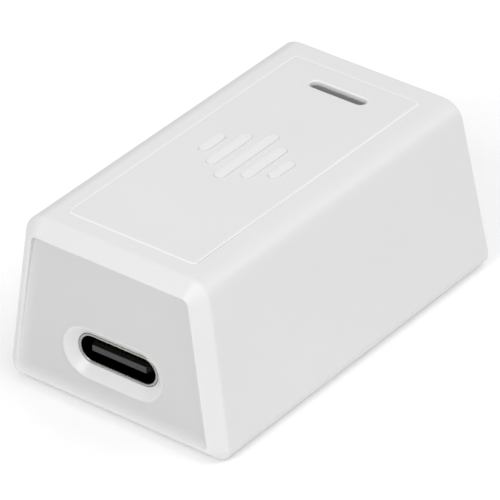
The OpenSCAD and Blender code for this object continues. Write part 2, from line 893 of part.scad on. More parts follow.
// Thin snap dome at the bottom of the well, its crown towards the plunger
module switch_dome() {
    ball_r = (dome_r * dome_r + dome_rise * dome_rise) / (2 * dome_rise);
    dome_y = switch_rear_y - switch_well_d;
    color([0.8, 0.8, 0.78])
        intersection() {
            difference() {
                translate([button_x, dome_y + dome_rise - ball_r, rear_axis_z])
                    sphere(r = ball_r);
                translate([button_x, dome_y + dome_rise - ball_r, rear_axis_z])
                    sphere(r = ball_r - dome_t);
            }
            rod_y(button_x, rear_axis_z, dome_r, dome_y, dome_y + 1);
        }
}

module switch_plunger() {
    head_y = switch_rear_y - plunger_top_gap - plunger_head_t;
    color([0.15, 0.15, 0.16]) {
        rod_y(button_x, rear_axis_z, plunger_head_r, head_y, head_y + plunger_head_t);
        rod_y(button_x, rear_axis_z, plunger_r, head_y, cap_front_y);
    }
}

module switch_pads() {
    color([0.8, 0.8, 0.8])
        for (sx = [-1, 1])
            chip(button_x + sx * (switch_w / 2 - 0.6), switch_y - 0.4, 0.7, 0.8, 0.2);
}

// ---------------------------------------------------------------- radio and audio parts

module bluetooth_chip() {
    color([0.1, 0.1, 0.1])
        chip(-1.8, can_y, 5.5, 5.5, 0.9);
}

module flash_memory() {
    color([0.13, 0.13, 0.13])
        chip(3.2, can_y - 2, 3, 2.2, 0.7);
}

module crystal() {
    color([0.75, 0.75, 0.75])
        chip(3.2, can_y + 1.9, 3.2, 2.5, 0.7);
}

module shield_frame() {
    color([0.72, 0.72, 0.72])
        difference() {
            chip(0, can_y, can_w - 2 * can_t, can_d - 2 * can_t, frame_h);
            translate([0, 0, -eps])
                chip(0, can_y, can_w - 4 * can_t, can_d - 4 * can_t, frame_h + 2 * eps);
        }
}

module shield_can() {
    hole_pitch = 1.4;
    hole_r = 0.3;
    color([0.78, 0.78, 0.79])
        difference() {
            chip(0, can_y, can_w, can_d, can_h);
            translate([0, 0, -eps])
                chip(0, can_y, can_w - 2 * can_t, can_d - 2 * can_t, can_h - can_t + eps);
            for (i = [-3 : 3], j = [-2 : 2])
                translate([i * hole_pitch, can_y + j * hole_pitch, board_top + can_h - can_t - eps])
                    cylinder(r = hole_r, h = can_t + 2 * eps);
        }
}

module audio_dac() {
    color([0.11, 0.11, 0.11])
        chip(dac_x, dac_y, dac_w, dac_d, 0.85, board_top + 0.1);
}

module audio_dac_leads() {
    lead_w = 0.25;
    lead_l = 0.7;
    pitch = 0.65;
    color([0.8, 0.8, 0.8])
        for (side = [-1, 1], i = [-3 : 3])
            chip(dac_x + side * (dac_w + lead_l) / 2, dac_y + i * pitch, lead_l, lead_w, 0.15);
}

module power_regulator() {
    color([0.12, 0.12, 0.12])
        chip(regulator_x, regulator_y, regulator_w, regulator_d, 1.1, board_top + 0.1);
}

module power_regulator_leads() {
    lead_w = 0.4;
    lead_l = 0.55;
    color([0.8, 0.8, 0.8]) {
        for (i = [-1 : 1])
            chip(regulator_x - (regulator_w + lead_l) / 2, regulator_y + i * 0.95, lead_l, lead_w, 0.15);
        for (i = [-1, 1])
            chip(regulator_x + (regulator_w + lead_l) / 2, regulator_y + i * 0.95, lead_l, lead_w, 0.15);
    }
}

module power_inductor() {
    side = 3;
    height = 1.5;
    color([0.25, 0.25, 0.26])
        translate([-1.8, usb_back_y + 3.1, board_top])
            rounded_plate(side, side, height, 0.6);
}

module esd_diodes() {
    color([0.12, 0.12, 0.12])
        chip(3.4, usb_back_y + 2.3, 2.5, 1, 0.5);
}

// Two coupling capacitors beside the shield can
module tantalum_capacitors() {
    color([0.75, 0.55, 0.15])
        for (side = [-1, 1])
            chip(side * (board_half_w - 1.6), can_y + 3.4, 1.6, 3.2, 1.6);
}

// Rows of small ceramic blocks along the board's free edges
module ceramic_capacitors() {
    color([0.7, 0.6, 0.45]) {
        for (i = [0 : 4])
            chip(board_half_w - 1.1, can_y - 3.4 + i * 1, 1, 0.5, 0.5);
        for (i = [0 : 2])
            chip(6.2, usb_back_y + 0.4 + i * 1, 1, 0.5, 0.5);
    }
}

module resistors() {
    color([0.1, 0.1, 0.12]) {
        for (i = [0 : 3])
            chip(1.2 + i * 1, dac_y - dac_d / 2 - 0.9, 0.5, 1, 0.35);
        for (i = [0 : 1])
            chip(3 + i * 1, usb_back_y + 4, 0.5, 1, 0.35);
    }
}

module chip_antenna() {
    color([0.9, 0.9, 0.88])
        chip(-board_half_w + 1.2, can_y - 1.6, 1.6, 5, 1.2);
}

upper_shell();
front_panel();
top_inlay();
inlay_symbol();
inlay_adhesive();
indicator_lens();
light_guide();
status_led();
rear_panel();
bottom_cover();
foot_pad();
case_screws();
circuit_board();
board_screws();
usb_shell();
usb_insulator();
usb_tongue();
usb_contacts();
usb_mid_plate();
jack_body();
jack_bushing();
jack_tip_spring();
jack_ring_spring();
jack_sleeve_contact();
jack_pins();
pairing_button();
switch_base();
switch_cover();
switch_dome();
switch_plunger();
switch_pads();
bluetooth_chip();
shield_frame();
shield_can();
flash_memory();
crystal();
audio_dac();
audio_dac_leads();
power_regulator();
power_regulator_leads();
power_inductor();
tantalum_capacitors();
ceramic_capacitors();
resistors();
esd_diodes();
chip_antenna();
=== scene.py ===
# %% [markdown]
# # A bluetooth audio receiver
#
# The real object is a small white box, moulded in ABS. Its long sides and its rear lean inwards, so
# that the moulding comes out of its tool, and the front has a wide chamfer around a sunken panel with
# a USB-C inlet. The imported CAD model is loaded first. It fixes every place and size, and the cells
# below rebuild the pieces that show, with the soft edges and finishes that a moulding really has.

# %% Load the frame
import json

import bmesh
import bpy
import numpy as np
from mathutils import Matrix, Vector


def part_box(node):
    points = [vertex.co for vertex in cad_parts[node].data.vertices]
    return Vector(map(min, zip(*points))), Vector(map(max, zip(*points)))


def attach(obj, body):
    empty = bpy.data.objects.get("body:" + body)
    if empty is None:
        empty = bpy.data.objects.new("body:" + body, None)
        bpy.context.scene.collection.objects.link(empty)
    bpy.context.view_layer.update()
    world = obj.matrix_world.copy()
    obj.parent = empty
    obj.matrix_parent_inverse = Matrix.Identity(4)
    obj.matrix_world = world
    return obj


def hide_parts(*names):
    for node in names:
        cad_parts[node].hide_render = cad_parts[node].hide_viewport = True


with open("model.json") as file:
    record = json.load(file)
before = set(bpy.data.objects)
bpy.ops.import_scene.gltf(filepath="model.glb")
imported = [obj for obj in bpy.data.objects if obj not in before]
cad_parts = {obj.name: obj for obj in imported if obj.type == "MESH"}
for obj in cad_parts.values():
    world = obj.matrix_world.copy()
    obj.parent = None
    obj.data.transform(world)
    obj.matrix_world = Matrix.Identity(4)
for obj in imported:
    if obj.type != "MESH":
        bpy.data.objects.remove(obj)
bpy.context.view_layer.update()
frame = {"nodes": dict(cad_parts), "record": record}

# %% [markdown]
# ## Sizes
#
# Lengths in this file are millimetres until a mesh is made. The case's outer lines come from the box
# of its CAD node: the lean of a wall and the radius of an edge are named here, and the half width of
# the case at any height follows from them. FIT is the gap between two mouldings that drop together.

# %% Sizes of the case
MM = 0.001
CASE = "case"
BUTTON = "button"


def box_mm(node):
    """Lowest and highest corner of a CAD node, in millimetres, as two numpy arrays."""
    low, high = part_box(node)
    return np.array(low) / MM, np.array(high) / MM


SIDE_LEAN = np.radians(8)
REAR_LEAN = np.radians(7)
TOP_FILLET = 2.2
BOTTOM_FILLET = 1.4
WALL = 1.2
CHAMFER = 1.35
LIP = 0.25
FIT = 0.08
LENS_FLANGE = 0.7

shell_low, shell_high = box_mm("upper_shell")
FRONT_Y, REAR_Y = shell_low[1], shell_high[1]
RIM_Z, TOP_Z = shell_low[2], shell_high[2]
CEILING_Z = box_mm("indicator_lens")[0][2] + LENS_FLANGE
PANEL_Y, PANEL_BACK_Y = box_mm("front_panel")[0][1], box_mm("front_panel")[1][1]
SILL_Y = box_mm("bottom_cover")[0][1] - FIT
RIM_HALF_W = shell_high[0] + BOTTOM_FILLET * (1 / np.cos(SIDE_LEAN) + np.tan(SIDE_LEAN) - 1)


def half_width(z):
    """Half the width of the case at height z, if its edges were sharp."""
    return RIM_HALF_W - (z - RIM_Z) * np.tan(SIDE_LEAN)


def rear_at(z):
    """Where the leaning rear face stands at height z."""
    return REAR_Y - (z - RIM_Z) * np.tan(REAR_LEAN)


print("case:", round(2 * RIM_HALF_W, 2), "x", round(REAR_Y - FRONT_Y, 2), "x", round(TOP_Z - RIM_Z, 2), "mm")

# %% [markdown]
# ## Camera
#
# A product picture like this is taken from well back with a long lens, so the far edges of the box
# shrink only a little. The camera is placed by its angles and distance around a point inside the case.

# %% Camera
CAMERA_TURN = np.radians(36.985)
CAMERA_RISE = np.radians(32.989)
CAMERA_AWAY = 452.88
CAMERA_AIM = np.array([0.9675, -1.4263, 8.85])
CAMERA_LENS = 360.86

camera_data = bpy.data.cameras.new("camera")
camera_data.lens = CAMERA_LENS
camera_data.sensor_width = 36.0
camera = bpy.data.objects.new("camera", camera_data)
bpy.context.scene.collection.objects.link(camera)
backwards = np.array(
    [
        np.sin(CAMERA_TURN) * np.cos(CAMERA_RISE),
        -np.cos(CAMERA_TURN) * np.cos(CAMERA_RISE),
        np.sin(CAMERA_RISE),
    ]
)
camera.location = Vector((CAMERA_AIM + backwards * CAMERA_AWAY) * MM)
camera.rotation_mode = "QUATERNION"
camera.rotation_quaternion = Vector(-backwards).to_track_quat("-Z", "Y")
bpy.context.scene.camera = camera
print("camera at", [round(c, 4) for c in camera.location])

# %% [markdown]
# ## From loops to a solid
#
# Nearly every piece here is a loft: a closed outline that is repeated at different insets and places.
# That is how a mould maker thinks of it too, as an outline and an edge profile. The helper below joins
# a stack of loops with quads, closes both ends, and turns the faces outwards by the sign of the
# volume that they enclose.


# %% Solid from a stack of loops
def loft(name, loops, ring=False):
    """Mesh object from loops of shape (loop, point, 3) in millimetres.

    Quads join each loop to the next. With ring=True the last loop joins the first, else two flat
    faces close the ends. The enclosed volume is the sum over triangles of a . (b x c) / 6, and the
    faces are turned round where it comes out negative."""
    loops = np.asarray(loops, float)
    count, points = loops.shape[:2]
    verts = loops.reshape(-1, 3)
    step = np.arange(count if ring else count - 1)[:, None]
    turn = np.arange(points)[None, :]
    here, there = step * points, (step + 1) % count * points
    after = (turn + 1) % points
    quads = np.stack([here + turn, here + after, there + after, there + turn], -1).reshape(-1, 4)
    ends = np.concatenate([turn[:, ::-1], turn + (count - 1) * points])[: 0 if ring else 2]
    fans = np.stack([ends[:, :1].repeat(points - 2, 1), ends[:, 1:-1], ends[:, 2:]], -1).reshape(-1, 3)
    a, b, c = verts[np.concatenate([quads[:, [0, 1, 2]], quads[:, [0, 2, 3]], fans])].transpose(1, 0, 2)
    if (a * np.cross(b, c)).sum() < 0:
        quads, ends = quads[:, ::-1], ends[:, ::-1]
    mesh = bpy.data.meshes.new(name)
    mesh.from_pydata((verts * MM).tolist(), [], quads.tolist() + ends.tolist())
    piece = bpy.data.objects.new(name, mesh)
    bpy.context.scene.collection.objects.link(piece)
    return piece


# %% [markdown]
# ## Outlines
#
# Four outlines do for the whole object: the rounded trapezoid of the case, a rounded rectangle, a slot
# with round ends, and a circle. Each is a function of an inset, so the same outline can be drawn a
# little smaller for a chamfer or a little larger for a flared hole. The number of points stays the
# same at any inset, which is what the loft needs.


# %% Outlines as functions of an inset
def arc(centre, radius, start, end, count):
    """Points on a circle's arc, from the start angle to the end angle in degrees."""
    angle = np.radians(np.linspace(start, end, count))
    return np.stack([centre[0] + radius * np.cos(angle), centre[1] + radius * np.sin(angle)], -1)


SHARPEST = 0.05
LOW_LEAST = 0.35


def case_outline(inset=0.0):
    """The case's cross section in X and Z: a trapezoid with rounded corners, moved inwards by inset."""
    lean = np.degrees(SIDE_LEAN)
    top_r = max(TOP_FILLET - inset, SHARPEST)
    low_r = max(BOTTOM_FILLET - inset, LOW_LEAST)
    top_z = TOP_Z - inset - top_r
    low_z = RIM_Z + inset + low_r
    top_x = half_width(top_z) - (inset + top_r) / np.cos(SIDE_LEAN)
    low_x = half_width(low_z) - (inset + low_r) / np.cos(SIDE_LEAN)
    right = np.concatenate(
        [
            arc((low_x, low_z), low_r, -90, lean, 11),
            arc((top_x, top_z), top_r, lean, 90, 15),
        ]
    )
    return np.concatenate([right, right[::-1] * [-1, 1]])


def rounded_rectangle(width, length, radius, corner_points=8):
    """A function of an inset that gives a rectangle with rounded corners, centred on the origin."""

    def outline(inset=0.0):
        r = max(radius - inset, SHARPEST)
        x, y = width / 2 - inset - r, length / 2 - inset - r
        corners = [(x, y, 0), (-x, y, 90), (-x, -y, 180), (x, -y, 270)]
        return np.concatenate([arc((cx, cy), r, a, a + 90, corner_points) for cx, cy, a in corners])

    return outline


def slot_outline(length, width, end_points=17):
    """A function of an inset that gives a slot with round ends, long in its first direction."""

    def outline(inset=0.0):
        x, r = (length - width) / 2, width / 2 - inset
        return np.concatenate([arc((x, 0), r, -90, 90, end_points), arc((-x, 0), r, 90, 270, end_points)])

    return outline


def circle(radius, points=64):
    """A function of an inset that gives a circle."""

    def outline(inset=0.0):
        return arc((0, 0), radius - inset, 0, 360, points + 1)[:-1]

    return outline


# %% [markdown]
# ## Placing an outline
#
# An outline is flat. It is laid level at a height, or stood upright at a distance along the case, or
# laid in the leaning rear face. Each of these is a small function from points and a depth to places
# in the object's frame.


# %% Ways to place an outline
def level(x=0.0, y=0.0):
    """Puts an outline level: its height is the profile's second value."""
    return lambda flat, height: np.column_stack([flat[:, 0] + x, flat[:, 1] + y, np.full(len(flat), height)])


def upright(x=0.0, z=0.0):
    """Stands an outline across the case: its place along Y is the profile's second value."""
    return lambda flat, along: np.column_stack([flat[:, 0] + x, np.full(len(flat), along), flat[:, 1] + z])


def leaning(x=0.0, climb=0.0):
    """Lays an outline in the rear face's plane: the second value is the distance out of that plane."""

    def place(flat, out):
        up = flat[:, 1] + climb
        y = REAR_Y - up * np.sin(REAR_LEAN) + out * np.cos(REAR_LEAN)
        z = RIM_Z + up * np.cos(REAR_LEAN) + out * np.sin(REAR_LEAN)
        return np.column_stack([flat[:, 0] + x, y, z])

    return place


def carry(name, outline, profile, place, ring=False):
    """Loft of an outline along a profile, whose rows are an inset and a height or depth."""
    return loft(name, [place(outline(inset), height) for inset, height in profile], ring)


def soften(corners, lengths, steps=5):
    """A profile with softened corners.

    Each inner corner is replaced by a parabola that leaves one side and meets the other at the given
    distance from the corner: (1 - t)^2 * start + 2 t (1 - t) * corner + t^2 * end."""
    corners = np.asarray(corners, float)
    t = np.linspace(0, 1, steps)[:, None]
    rows = [corners[:1]]
    for before, corner, after, reach in zip(corners, corners[1:], corners[2:], lengths):
        start = corner + (before - corner) / np.linalg.norm(before - corner) * reach
        end = corner + (after - corner) / np.linalg.norm(after - corner) * reach
        rows.append((1 - t) ** 2 * start + 2 * t * (1 - t) * corner + t**2 * end)
    rows.append(corners[-1:])
    return np.concatenate(rows)


def flare(radius, surface, depth, outward=1.0):
    """Profile of a cutter that leaves a rounded edge of that radius where it breaks a flat surface.

    The cutter runs straight from depth up to one radius under the surface. It then opens along the
    circle, inset = -radius (1 - cos a), height = surface - radius (1 - sin a), until a is 75 degrees,
    and leaves on the tangent so that it crosses the surface cleanly."""
    last = np.radians(75)
    a = np.linspace(0, last, 6)
    bend = np.column_stack([-radius * (1 - np.cos(a)), -radius * (1 - np.sin(a)) * outward])
    leave = bend[-1] + 2.2 * radius * np.array([-np.sin(last), np.cos(last) * outward])
    rows = np.concatenate([[[0.0, 0.0]], bend, [leave]])
    rows[:, 1] += surface
    rows[0, 1] = depth
    return rows


# %% [markdown]
# ## Cutting and joining
#
# Openings are cut with the Boolean modifier in its exact mode. The cutters already carry the flare of
# a softened edge, so no bevel is needed afterwards. The modifier's result is written into the mesh at
# once and the cutter is removed.


# %% Boolean steps
def combine(piece, others, operation="DIFFERENCE"):
    """Cuts the other pieces out of a piece, or joins them to it, and writes the result to its mesh."""
    for other in others:
        modifier = piece.modifiers.new("cut", "BOOLEAN")
        modifier.operation = operation
        modifier.solver = "EXACT"
        modifier.object = other
        depsgraph = bpy.context.evaluated_depsgraph_get()
        result = bpy.data.meshes.new_from_object(piece.evaluated_get(depsgraph))
        piece.modifiers.clear()
        piece.data = result
        bpy.data.objects.remove(other)
    return piece


def merge(name, pieces):
    """Puts separate closed solids into one mesh object, as they lie."""
    together = bmesh.new()
    for piece in pieces:
        together.from_mesh(piece.data)
        bpy.data.objects.remove(piece)
    mesh = bpy.data.meshes.new(name)
    together.to_mesh(mesh)
    together.free()
    piece = bpy.data.objects.new(name, mesh)
    bpy.context.scene.collection.objects.link(piece)
    return piece


def open_edges(mesh):
    """How many edges don't have exactly two faces: zero on a closed solid."""
    check = bmesh.new()
    check.from_mesh(mesh)
    count = sum(len(edge.link_faces) != 2 for edge in check.edges)
    check.free()
    return count


CREASE = np.radians(32)
WELD = 0.0002


def settle(piece, body, node, material):
    """Shades a finished piece, hangs it on its body, hides the CAD node that it stands for, and reports it.

    Points closer than WELD become one. Faces that meet at more than CREASE keep a hard line. Weighted
    normals lean on the large flat faces, so that a soft edge doesn't shade the flat next to it."""
    clean = bmesh.new()
    clean.from_mesh(piece.data)
    bmesh.ops.remove_doubles(clean, verts=clean.verts, dist=WELD * MM)
    bmesh.ops.dissolve_degenerate(clean, edges=clean.edges, dist=WELD * MM)
    clean.to_mesh(piece.data)
    clean.free()
    mesh = piece.data
    mesh.polygons.foreach_set("use_smooth", np.ones(len(mesh.polygons), bool))
    mesh.set_sharp_from_angle(angle=CREASE)
    normals = piece.modifiers.new("normals", "WEIGHTED_NORMAL")
    normals.keep_sharp = True
    normals.weight = 100
    mesh.materials.clear()
    mesh.materials.append(material)
    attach(piece, body)
    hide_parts(node)
    print(f"{piece.name}: {len(mesh.vertices)} points, {open_edges(mesh)} open edges")
    return piece


# %% [markdown]
# ## Finishes
#
# Before the pieces come the materials, because each piece takes its material as it is finished. Each
# one is built from nodes that read the object's own coordinates, so a grain keeps its real size in
# millimetres. Colours are written as the sRGB hex values of a paint chart and turned to linear light
# by one function.


# %% Colour and node helpers
def linear(code):
    """Linear RGBA of an sRGB hex colour: c / 12.92 up to 0.04045, else ((c + 0.055) / 1.055) ** 2.4."""
    srgb = np.array([int(code[k : k + 2], 16) for k in (1, 3, 5)]) / 255
    rgb = np.where(srgb <= 0.04045, srgb / 12.92, ((srgb + 0.055) / 1.055) ** 2.4)
    return (*rgb.tolist(), 1.0)


def add_node(material, kind, settings=None, links=None):
    """Adds a node. Settings are node properties or socket values, links map a socket to an output.

    A socket goes by its name, or by its place in the list where two sockets share a name."""
    node = material.node_tree.nodes.new(kind)
    for key, value in (settings or {}).items():
        if isinstance(key, int) or key in node.inputs:
            node.inputs[key].default_value = value
        else:
            setattr(node, key, value)
    for key, source in (links or {}).items():
        material.node_tree.links.new(source, node.inputs[key])
    return node


def new_material(name):
    """An empty node material, with its object coordinates."""
    material = bpy.data.materials.new(name)
    material.use_nodes = True
    material.node_tree.nodes.clear()
    place = add_node(material, "ShaderNodeTexCoord").outputs["Object"]
    return material, place


def per_mm(size_mm):
    """Texture scale at which one feature is size_mm wide, as object coordinates are in metres."""
    return 1000.0 / size_mm


# %% [markdown]
# Every finish ends in the same way: a texture value drives its colour and its roughness, a height
# value may drive a bump, and a Principled shader takes them all. So that end is one function. Some
# pieces have two zones with different tones, and a third value then says where one goes over into
# the other.


# %% From texture values to a surface
def surface(material, value, tones, gloss, shader, relief=None, zone=None, gloss_value=None):
    """Closes a material with its shader.

    Each pair of hex colours in tones is blended as dark * (1 - value) + light * value. Of two pairs,
    the first goes over into the second as zone goes from 0 to 1. Roughness runs from gloss[0] to
    gloss[1] with the value, or with gloss_value. Relief is a height value, a strength and a depth in
    millimetres, and shader holds what is the same all over the surface."""
    colours = [
        add_node(
            material,
            "ShaderNodeMix",
            {"data_type": "RGBA", 6: linear(dark), 7: linear(light)},
            {"Factor": value},
        ).outputs[2]
        for dark, light in tones
    ]
    if zone:
        blend = {"Factor": zone, 6: colours[0], 7: colours[1]}
        colours = [add_node(material, "ShaderNodeMix", {"data_type": "RGBA"}, blend).outputs[2]]
    rough = add_node(
        material,
        "ShaderNodeMapRange",
        {"To Min": gloss[0], "To Max": gloss[1]},
        {"Value": gloss_value or value},
    )
    links = {"Base Color": colours[0], "Roughness": rough.outputs["Result"]}
    if relief:
        height, strength, depth = relief
        settings = {"Strength": strength, "Distance": depth * MM}
        bump = add_node(material, "ShaderNodeBump", settings, {"Height": height})
        links["Normal"] = bump.outputs["Normal"]
    principled = add_node(material, "ShaderNodeBsdfPrincipled", shader, links)
    add_node(material, "ShaderNodeOutputMaterial", {}, {"Surface": principled.outputs["BSDF"]})
    return material


def zone_along(material, place, axis, start, end):
    """Value that goes from 0 to 1 between two places along an axis, given in millimetres."""
    along = add_node(material, "ShaderNodeSeparateXYZ", {}, {"Vector": place}).outputs[axis]
    span = {"From Min": start * MM, "From Max": end * MM}
    return add_node(material, "ShaderNodeMapRange", span, {"Value": along}).outputs["Result"]


# %% [markdown]
# ### Moulded ABS
#
# The case is ABS, injected into a steel mould whose walls were spark eroded. The steel's fine craters
# print through as a satin grain of about a tenth of a millimetre. It breaks up reflections, so the
# white looks soft and even. A slow change of roughness comes from how the plastic cooled.


# %% Moulded ABS
def moulded(name, dark, light, grain_mm, grain_depth, rough, flow_mm=9.0):
    """Injection moulded plastic: a spark eroded grain, and a slow drift in tone and gloss."""
    material, place = new_material(name)
    grain = add_node(
        material, "ShaderNodeTexNoise", {"Scale": per_mm(grain_mm), "Detail": 2.0, "Roughness": 0.55},
        {"Vector": place},
    ).outputs["Fac"]
    flow = add_node(
        material, "ShaderNodeTexNoise", {"Scale": per_mm(flow_mm), "Detail": 3.0}, {"Vector": place}
    ).outputs["Fac"]
    gloss = (rough - 0.05, rough + 0.05)
    return surface(material, flow, [(dark, light)], gloss, {"IOR": 1.52}, (grain, 0.35, grain_depth))


case_abs = moulded("white ABS, spark eroded satin", "#dcdcdc", "#e0e0e0", 0.16, 0.010, 0.42)
symbol_abs = moulded("white ABS, polished relief", "#dfdfdf", "#e3e3e3", 0.3, 0.004, 0.3)
black_polymer = moulded("black liquid crystal polymer, moulded", "#1c1c1e", "#242427", 0.09, 0.006, 0.4, 2.5)
rear_abs = moulded("white ABS, fine satin", "#d4d4d4", "#d9d9d9", 0.12, 0.007, 0.45)
chip_epoxy = moulded("black epoxy, transfer moulded", "#151517", "#1e1e20", 0.06, 0.006, 0.6, 1.2)
tantalum_epoxy = moulded("yellow epoxy, moulded", "#a8781c", "#b98a2c", 0.08, 0.005, 0.5, 1.5)
silicone = moulded("grey silicone rubber, pressed", "#77787b", "#828386", 0.2, 0.012, 0.75, 6.0)


# %% [markdown]
# ### Inlay with a painted edge highlight
#
# The inlay is the same ABS with a stoned satin top. Light that enters near an edge comes out of the
# edge again, so edges and slot walls look whiter than the flat. That light path is far too short for
# a render to trace in reasonable time, so it is a painted highlight: a lighter tone from the top face down.


# %% Satin plate, painted edge highlight
HIGHLIGHT_START, HIGHLIGHT_END = 0.005, 0.03


def inlay_with_painted_highlight(top_z):
    """Satin ABS, painted highlight: tone goes near white from HIGHLIGHT_START to HIGHLIGHT_END under the
    top.
    """
    material, place = new_material("white ABS, stoned satin inlay, painted edge highlight")
    flow = add_node(
        material, "ShaderNodeTexNoise", {"Scale": per_mm(9.0), "Detail": 3.0}, {"Vector": place}
    ).outputs["Fac"]
    grain = add_node(
        material, "ShaderNodeTexNoise", {"Scale": per_mm(0.14), "Detail": 2.0}, {"Vector": place}
    ).outputs["Fac"]
    # Painted highlight: 0 at the top face, 1 a little below it, so edges and slot walls take the near white
    # tone
    edge = zone_along(material, place, "Z", top_z - HIGHLIGHT_START, top_z - HIGHLIGHT_END)
    # Second pair is the painted highlight's near white tone
    tones = [("#dcdcdc", "#e0e0e0"), ("#eeeeee", "#eeeeee")]
    return surface(material, flow, tones, (0.45, 0.55), {"IOR": 1.52}, (grain, 0.35, 0.009), edge)


inlay_abs = inlay_with_painted_highlight(TOP_Z)

# %% [markdown]
# ### Panel with painted light on its funnel
#
# The front panel is the same plastic. Its flat face takes a greyer, duller tone. The funnel and the
# cove take painted light: they are painted as white as the case, lighter than the lamps leave them.
# Depth alone can't tell the two apart, because the bead stands in front of the flat face. So the
# panel's mesh carries an attribute that says how much painted light each point takes.

# %% Greyer face, painted light on the funnel and cove
PAINTED_LIGHT = "painted_light"


def panel_with_painted_light():
    """Panel plastic: the mesh's painted-light attribute, 0 to 1, blends the face's greyer tone into painted
    light.
    """
    material, place = new_material("white ABS, greyer face, painted light on funnel and cove")
    flow = add_node(
        material, "ShaderNodeTexNoise", {"Scale": per_mm(9.0), "Detail": 3.0}, {"Vector": place}
    ).outputs["Fac"]
    grain = add_node(
        material, "ShaderNodeTexNoise", {"Scale": per_mm(0.12), "Detail": 2.0}, {"Vector": place}
    ).outputs["Fac"]
    # polished is the painted-light share that the mesh carries: full on the funnel, lower on the cove
    polished = add_node(material, "ShaderNodeAttribute", {"attribute_name": PAINTED_LIGHT}).outputs["Fac"]
    # Greyer face tone first, then the case's white, which is the painted light on the funnel and cove
    tones = [("#c6c6c6", "#cacaca"), ("#dcdcdc", "#e0e0e0")]
    relief = (grain, 0.3, 0.007)
    return surface(material, flow, tones, (0.5, 0.34), {"IOR": 1.52}, relief, polished, polished)


panel_abs = panel_with_painted_light()

# %% [markdown]
# ### Clear and smoked plastic
#
# The light slot is closed by a smoked polycarbonate lens, and a clear acrylic bar carries the light
# up to it. Smoked plastic looks almost solid grey until the light behind it comes on. Its tone and
# gloss drift a little, because the melt cooled unevenly.


# %% Clear and smoked plastic
def translucent(name, dark, light, rough, transmission, flow_mm):
    """Clear or tinted moulded plastic with a faint drift from the flow of the melt."""
    material, place = new_material(name)
    flow = add_node(
        material, "ShaderNodeTexNoise", {"Scale": per_mm(flow_mm), "Detail": 2.0}, {"Vector": place}
    ).outputs["Fac"]
    shader = {"IOR": 1.56, "Transmission Weight": transmission}
    return surface(material, flow, [(dark, light)], (rough, rough + 0.06), shader, (flow, 0.1, 0.004))


smoked_lens = translucent("smoked polycarbonate, moulded", "#5e5e5e", "#686868", 0.32, 0.0, 1.3)
clear_acrylic = translucent("clear acrylic, polished", "#eef3f5", "#f6fafb", 0.08, 0.8, 2.0)
led_epoxy = translucent("pale yellow epoxy, cast", "#efe8b4", "#f6f0c4", 0.15, 0.4, 0.5)


# %% [markdown]
# ### Plated metal
#
# The USB-C shell is stamped steel with a nickel plating, which keeps faint lines from the rolling of
# the strip. The jack's bushing is turned brass under bright nickel, and the contacts are gold on
# copper. One function draws all of them: a metal with a stretched noise for the rolling or turning
# lines.


# %% Plated metal
def plated(name, dark, light, rough, line_mm, stretch=(1.0, 0.06, 1.0)):
    """Plated metal with fine lines from rolling or turning, drawn out along one direction."""
    material, place = new_material(name)
    drawn = add_node(material, "ShaderNodeMapping", {"Scale": stretch}, {"Vector": place}).outputs["Vector"]
    lines = add_node(
        material, "ShaderNodeTexNoise", {"Scale": per_mm(line_mm), "Detail": 3.0, "Roughness": 0.6},
        {"Vector": drawn},
    ).outputs["Fac"]
    gloss = (rough - 0.06, rough + 0.08)
    return surface(material, lines, [(dark, light)], gloss, {"Metallic": 1.0}, (lines, 0.2, 0.002))


sheet_nickel = plated("nickel on stamped steel", "#b4b3b0", "#c6c5c2", 0.3, 0.08)
nickel_bushing = plated("bright nickel on turned brass", "#c3c2bf", "#d6d5d1", 0.16, 0.06, (1.0, 1.0, 1.0))
gold_contact = plated("gold on copper, rolled", "#b08a40", "#c9a458", 0.25, 0.06)
zinc_steel = plated("zinc on steel, cold headed", "#a3a7ac", "#b8bcc0", 0.35, 0.1, (1.0, 1.0, 1.0))
tinned_lead = plated("tin on copper, dipped", "#bcbcba", "#cececb", 0.4, 0.12, (1.0, 1.0, 1.0))


# %% [markdown]
# ### Inside of the inlet's shell
#
# An inlet looks nearly black, because its hollow lies in deep shade. That shade is painted here: the
# crest of the rim keeps a nickel tone, and the walls are painted dark within a tenth of a millimetre
# behind it.


# %% Nickel with painted shade inside
SHADE_START, SHADE_FULL = 0.02, 0.12


def shell_with_painted_shade(mouth_y):
    """Nickel tone up to SHADE_START behind the mouth, painted shade of dark, dull nickel from SHADE_FULL
    inwards.
    """
    material, place = new_material("nickel on stamped steel, painted shade inside")
    lines = add_node(
        material, "ShaderNodeTexNoise", {"Scale": per_mm(0.2), "Detail": 3.0}, {"Vector": place}
    ).outputs["Fac"]
    # Painted shade: 0 at the rim's crest, 1 a tenth of a millimetre in, where the walls take the near black
    # tones
    inside = zone_along(material, place, "Y", mouth_y + SHADE_START, mouth_y + SHADE_FULL)
    tones = [("#9c9b98", "#b4b3b0"), ("#141414", "#1c1c1c")]
    return surface(material, lines, tones, (0.2, 0.34), {"Metallic": 1.0}, zone=inside)


nickel_shell = shell_with_painted_shade(box_mm("usb_shell")[0][1])

# %% [markdown]
# ### Board, ceramics and film
#
# Inside, the board is glass cloth in epoxy under a green solder mask, where the weave just shows as a
# fine check. The small parts on it are fired ceramics with a speckle of grains. The inlay is held by
# a thin adhesive film.


